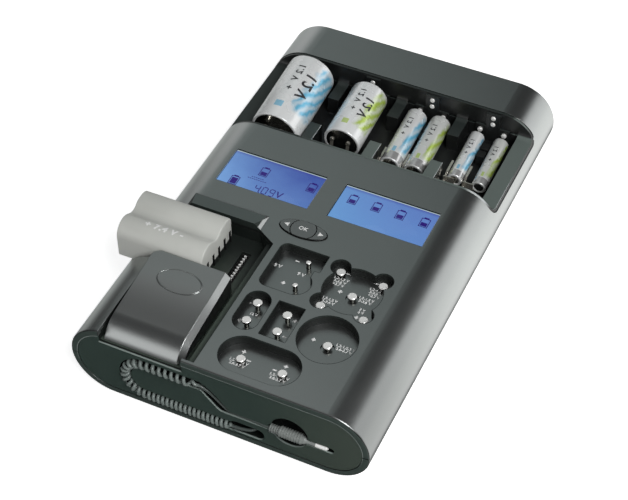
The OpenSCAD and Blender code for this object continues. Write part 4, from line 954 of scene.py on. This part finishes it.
pluses = [(2.5, -71), (-7.6, -109.4), (22.6, -96.4), (38.6, -104.5), (37, -63.1),
          (54.6, -78.1), (5.5, -130.3), (32.9, -130.1)]
minuses = [(2.6, -51.2), (-7.4, -94.2), (22.2, -110), (35.9, -47.8), (54.4, -48),
           (11.1, -135.3), (27.9, -135.2)]
signs = []
for x, y in pluses:
    signs.append(centred(x, y, SIGN_W, PLUS_T))
    signs += [centred(x, y + up * (SIGN_W + PLUS_T) / 4, PLUS_T, (SIGN_W - PLUS_T) / 2)
              for up in (-1, 1)]
signs += [centred(x, y, SIGN_W, MINUS_T) for x, y in minuses]
piece("recess_signs", bars(signs, PIT - 0.02, PIT + 0.04), [ink_white])

# Text, X, Y and height of each line; a block stands for two or three such lines
VOLTAGES = [("9 V", -6.8, -59.6, 2.6), ("9 V", 9.4, -60.4, 2.6), ("12 V", -2.5, -101.7, 2.0),
            ("3 V", 55.3, -71.2, 1.9), ("6 V", 55.3, -73.6, 1.9)]
BLOCKS = [(33.5, -53.4, 3), (57.2, -53.2, 3), (34, -71.6, 2), (54.1, -62.3, 2),
          (58.4, -102.5, 2), (6, -138.2, 2), (32.3, -138.4, 2)]
for x, y, lines in BLOCKS:
    words = ("1.2-1.5-3 V", "3.6-3.7 V") if y < -100 else ("1.2-1.5 V", "3-3.6 V", "+3.7 V")
    VOLTAGES += [(words[i], x, y - 2.55 * i, 2.0) for i in range(lines)]
flat_text("recess_voltages", VOLTAGES, PIT, ink_white, weight=0.045)
print("signs made:", len(signs), "bars and", len(VOLTAGES), "voltages")

# %% [markdown]
# The camera battery is one warm grey shell with a flat back, a shallow valley and a
# round hump in front. Its side outline is drawn once and drawn out along X, and every
# edge gets a soft round. Five notches in its end take the contacts.

# %% Camera battery
BATTERY_LEFT, BATTERY_RIGHT, BATTERY_BACK, BATTERY_FLOOR = -103.5, -44.0, -48.6, 43.5
HUMP_Y, HUMP_Z, HUMP_R = -79.0, 58.5, 9.5
BATTERY_CREASE = 42


def battery_outline():
    """Side outline of the battery as (y, z), from the front foot round the hump to the back."""
    angles = [math.radians(a) for a in range(0, 131, 5)]
    hump = [(HUMP_Y - HUMP_R * math.cos(a), HUMP_Z + HUMP_R * math.sin(a)) for a in angles]
    back_steps = [(-21.5, 20.6), (-20, 20.1), (-18, 20.1), (-16, 20.7), (-13, 22.7),
                  (-10, 23.4), (-5.5, 23.5), (-3, 22.7), (-1, 21.5), (0, 19.5), (0, 0)]
    return ([(HUMP_Y - HUMP_R, BATTERY_FLOOR)] + hump
            + [(BATTERY_BACK + y, BATTERY_FLOOR + z) for y, z in back_steps])


def battery_paint(made):
    """Battery: warm grey, with a black strip at the foot of its right end."""
    x, _, z = made.millimetres()
    strip = x.above(BATTERY_RIGHT - 1.0, 0.1) * (1 - z.above(49.3, 0.2))
    grey = made.blend(made.grain(35, 3), (0.55, 0.56, 0.525), (0.71, 0.72, 0.68))
    return made.blend(strip, grey, (0.012, 0.014, 0.013))


battery_grey = moulded("battery_grey", (0.68, 0.69, 0.655), 0.42, 0.6, 0.012, 0.5, battery_paint)
battery_mesh = drawn_out([(BATTERY_LEFT, y, z) for y, z in battery_outline()],
                         (BATTERY_RIGHT - BATTERY_LEFT, 0, 0), 0.7)
battery = piece("battery_shell", battery_mesh, [battery_grey],
                stands_for=("camera_battery",), crease=BATTERY_CREASE)
print("battery shell:", len(battery_mesh.polygons), "faces")

# %% Notches and print of the battery
notch_boxes = [(BATTERY_RIGHT - 3, y - 1.3, BATTERY_RIGHT + 1, y + 1.3)
               for y in (-51.2, -58.5, -66, -73.5, -81)]
notches = in_scene("notches", bars(notch_boxes, BATTERY_FLOOR - 1, BATTERY_FLOOR + 11.5))
notches.data.materials.append(block_plastic.material)
cut = battery.modifiers.new("notches", "BOOLEAN")
cut.operation, cut.object = "DIFFERENCE", notches
cut.solver, cut.material_mode = "EXACT", "TRANSFER"
cut_mesh = evaluated(battery)
battery.modifiers.clear()
battery.data = cut_mesh
bpy.data.objects.remove(notches)
cut_mesh.set_sharp_from_angle(angle=math.radians(BATTERY_CREASE))


def over_hump(point):
    """A point of flat text laid over the battery's hump."""
    turn, reach = math.radians(98) + point.y / mm(HUMP_R), mm(HUMP_R + 0.08) + point.z
    return Vector((mm(-75) + point.x, mm(HUMP_Y) - reach * math.cos(turn),
                   mm(HUMP_Z) + reach * math.sin(turn)))


piece("battery_volts", bent_letters("+ 7.4 V -", 4.6, 1.15, 0.07, over_hump), [ink_white])
print("camera battery:", len(cut_mesh.polygons), "faces")

# %% [markdown]
# The slider's top falls by seven degrees to the front. It carries a low oval boss with
# a fine raised ring on its edge: a thin tube along an ellipse, sunk by half.

# %% Ring on the slider
def ring(middle, a, b, r):
    """Mesh of a closed tube of radius r along an ellipse with the semi-axes a and b."""
    body, loops = bmesh.new(), []
    for angle in circle(96):
        outward = Vector((math.cos(angle) / a, math.sin(angle) / b, 0)).normalized()
        centre = middle + Vector((a * math.cos(angle), b * math.sin(angle), 0))
        loops.append([body.verts.new((centre + outward * r * math.cos(t)
                                      + Vector((0, 0, r * 0.8 * math.sin(t)))) / 1000)
                      for t in circle(8)])
    skin(body, loops + loops[:1])
    return as_mesh(body, True)


slider_top = Matrix.Translation(mm(-50, -88.8, 61.5)) @ Matrix.Rotation(math.radians(7), 4, "X")
slider_ring = ring(Vector((0, -17, 0.35)), 14.4, 8.0, 0.3)
piece("slider_ring", slider_ring, [slider_lacquer], body="clamp", place=slider_top, crease=80)
print("ring made")

# %% [markdown]
# Two return springs sit under the slider and shorten as it slides forward. Here each
# is one fixed helix of round wire.

# %% Clamp springs
SPRING_START, SPRING_LENGTH, SPRING_R, SPRING_Z = -140.45, 43.2, 2.6, 47.1
SPRING_STEPS, TURN_POINTS = 180, 20


def wire_along(line, r):
    """Mesh of a closed round wire along a line of points in metres."""
    body, loops = bmesh.new(), []
    for i, point in enumerate(line):
        ahead = (line[min(i + 1, len(line) - 1)] - line[max(i - 1, 0)]).normalized()
        side = ahead.cross(Vector((0, 1, 0.02))).normalized()
        up = side.cross(ahead)
        loops.append([body.verts.new(point + mm(r) * (side * math.cos(a) + up * math.sin(a)))
                      for a in circle(8)])
    skin(body, loops)
    body.faces.new(loops[0])
    body.faces.new(loops[-1])
    return as_mesh(body, True)


for side, x in (("left", -62), ("right", -42)):
    helix = []
    for i in range(SPRING_STEPS + 1):
        angle, along = math.tau * i / TURN_POINTS, SPRING_LENGTH * i / SPRING_STEPS
        helix.append(mm(x + SPRING_R * math.cos(angle), SPRING_START + along,
                        SPRING_Z + SPRING_R * math.sin(angle)))
    spring = piece("spring_" + side, wire_along(helix, 0.45), [screw_zinc],
                   crease=80)
    if side == "left":
        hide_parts("clamp_springs")
    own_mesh(spring)
print("springs made")

# %% [markdown]
# The probe lies in its groove: a strain relief with four rings, a ribbed grip with a
# tapered neck, and a plated tip with a rounded end. Each is one turned profile.

# %% The probe
PROBE = Matrix.Translation(mm(0, -156.3, 22.9)) @ Matrix.Rotation(-math.pi / 2, 4, "Z")


def ribbed(start, count, pitch, low, high, width):
    """Profile of rounded ribs, as (along, radius)."""
    rib = [(0, low), (0.12, high - 0.08), (0.3, high), (0.7, high), (0.88, high - 0.08), (1, low)]
    return [(start + i * pitch + width * share, radius) for i in range(count)
            for share, radius in rib]


relief_profile = ([(34.6, 0), (34.6, 1.9)] + ribbed(34.9, 4, 1.5, 1.9, 2.7, 0.8)
                  + [(40.8, 1.9), (40.8, 0)])
grip_profile = ([(40.8, 0), (40.8, 2.9), (41.1, 3.1)]
                + ribbed(41.4, 9, 15.2 / 9.3, 3.05, 3.5, 0.95)
                + [(56.0, 3.0), (56.15, 2.6), (57.2, 2.6), (57.6, 2.45), (58.6, 1.75),
                   (59.0, 1.52), (64.3, 1.5), (64.3, 0)])
tip_profile = [(64.3, 0), (64.3, 1.6), (70.3, 1.6), (70.9, 1.5), (71.6, 1.1), (72.1, 0.6),
               (72.3, 0.2), (72.3, 0)]
probe_relief = piece("relief_rings", turned(relief_profile, 40), [grip_rubber],
                     place=PROBE, stands_for=("probe_relief",))
probe_grip = piece("grip_body", turned(grip_profile), [grip_rubber],
                   place=PROBE, stands_for=("probe_grip",))
probe_tip = piece("tip_pin", turned(tip_profile, 40), [tip_plate],
                  place=PROBE, stands_for=("probe_tip",))
print("probe made")

# %% [markdown]
# The charger stands on a pale sheet that runs out of the picture. For the camera the
# sheet is white. Reflections see it bright on the right of the charger, where the
# round side mirrors it, and dim in front and on the left. For everything else it is a
# plain diffuse floor, so the shadow under the charger stays.

# %% Floor
floor_body = bmesh.new()
floor_body.faces.new([floor_body.verts.new(p) for p in (
    (-4, -3, -0.0002), (4, -3, -0.0002), (4, 5, -0.0002), (-4, 5, -0.0002))])
floor_mesh = as_mesh(floor_body)
floor = in_scene("floor", floor_mesh)
paper = Finish("paper", (0.80, 0.80, 0.80), Roughness=0.9)
rays = paper.add("ShaderNodeLightPath").socket.node.outputs
camera_ray, glossy_ray, clear_ray = (
    Wire(paper, rays["Is " + kind + " Ray"]) for kind in ("Camera", "Glossy", "Transmission"))
sheet = paper.blend(paper.grain(4, 2), (0.78, 0.78, 0.78), (0.82, 0.82, 0.82))
paper.set(Base_Color=paper.blend(glossy_ray, sheet, (0.01, 0.01, 0.01)))
x, y, _ = paper.split(paper.place())
far_front = (1 - x.above(-0.35, 0.3)) * (1 - y.above(0.35, 0.5))
left_back = (1 - x.above(-0.11, 0.03)) * y.above(-0.12, 0.16) * (1 - far_front * 0.6)
mirrored = paper.blend(left_back, (0.03, 0.035, 0.032), (0.55, 0.57, 0.56))
mirrored = paper.blend(x.above(0.109, 0.024), mirrored, (1.35, 1.35, 1.33))
glow = paper.add("ShaderNodeEmission", values={
    "Color": paper.blend(glossy_ray, (1, 1, 1), mirrored),
    "Strength": camera_ray * 0.8 + glossy_ray + clear_ray * 0.5})
paper.surface(paper.add("ShaderNodeAddShader", values={
    0: Wire(paper, paper.shader.outputs[0]), 1: glow}))
floor_mesh.materials.append(paper.material)
print("floor made")

# %% [markdown]
# The picture has soft studio light from above and a dark room behind it: the round
# side mirrors the white sheet, with a dark band above it where it mirrors the room.
# So the world is nearly black, a little paler overhead, and six soft lamps do the
# rest: a key from the right, and sheets and walls that the lacquer mirrors.

# %% World
world = bpy.data.worlds.new("studio")
scene.world = world
world.use_nodes = True
sky = Nodes(world.node_tree)
overhead = sky.split(sky.add("ShaderNodeTexCoord", out="Generated"))[2]
stops = [(0.0, (0.03, 0.03, 0.03)), (0.76, (0.04, 0.0408, 0.0416)),
         (0.88, (0.05, 0.051, 0.052)), (1.0, (0.03, 0.03, 0.03))]
shades = sky.add("ShaderNodeValToRGB", {"stops": stops}, {"Fac": overhead})
sky.put(sky.tree.nodes["Background"], {"Color": shades, "Strength": 1.0})
print("world made:", len(stops), "stops")


# %% Lamps
def soft_lamp(name, place, target, width, height, watts, tint=(1, 1, 1)):
    """A large rectangular lamp that faces a target."""
    data = bpy.data.lights.new(name, "AREA")
    data.shape, data.size, data.size_y = "RECTANGLE", width, height
    data.energy, data.color = watts, tint
    lamp = in_scene(name, data)
    lamp.location = place
    lamp.rotation_euler = (Vector(target) - Vector(place)).to_track_quat("-Z", "Y").to_euler()


soft_lamp("right_key", (1.05, -0.75, 1.5), (0, 0, 0), 0.9, 0.9, 27)
soft_lamp("front_left_sheet", (-0.75, -1.45, 0.60), (0, 0, 0), 1.3, 0.9, 4.0)
soft_lamp("overhead_sheet", (-0.42, 0.22, 1.2), (-0.05, -0.11, 0.06), 0.8, 0.45, 0.32)
soft_lamp("left_wall", (-0.95, 1.10, 0.36), (0.17, 0.32, 0.05), 0.75, 0.66, 1.05)
soft_lamp("back_left_sheet", (-1.15, 1.45, 1.75), (0, 0, 0), 1.7, 1.7, 2.0, (0.86, 1.0, 0.98))
soft_lamp("right_wall", (1.75, 1.15, 0.62), (0, 0, 0.1), 1.9, 1.2, 8.5)
scene.view_settings.view_transform = "Standard"
print("lamps made")

# %% [markdown]
# The scene is brought up to date at the end. The visual model has to stay inside the
# construction's box.

# %% Finish
bpy.context.view_layer.update()
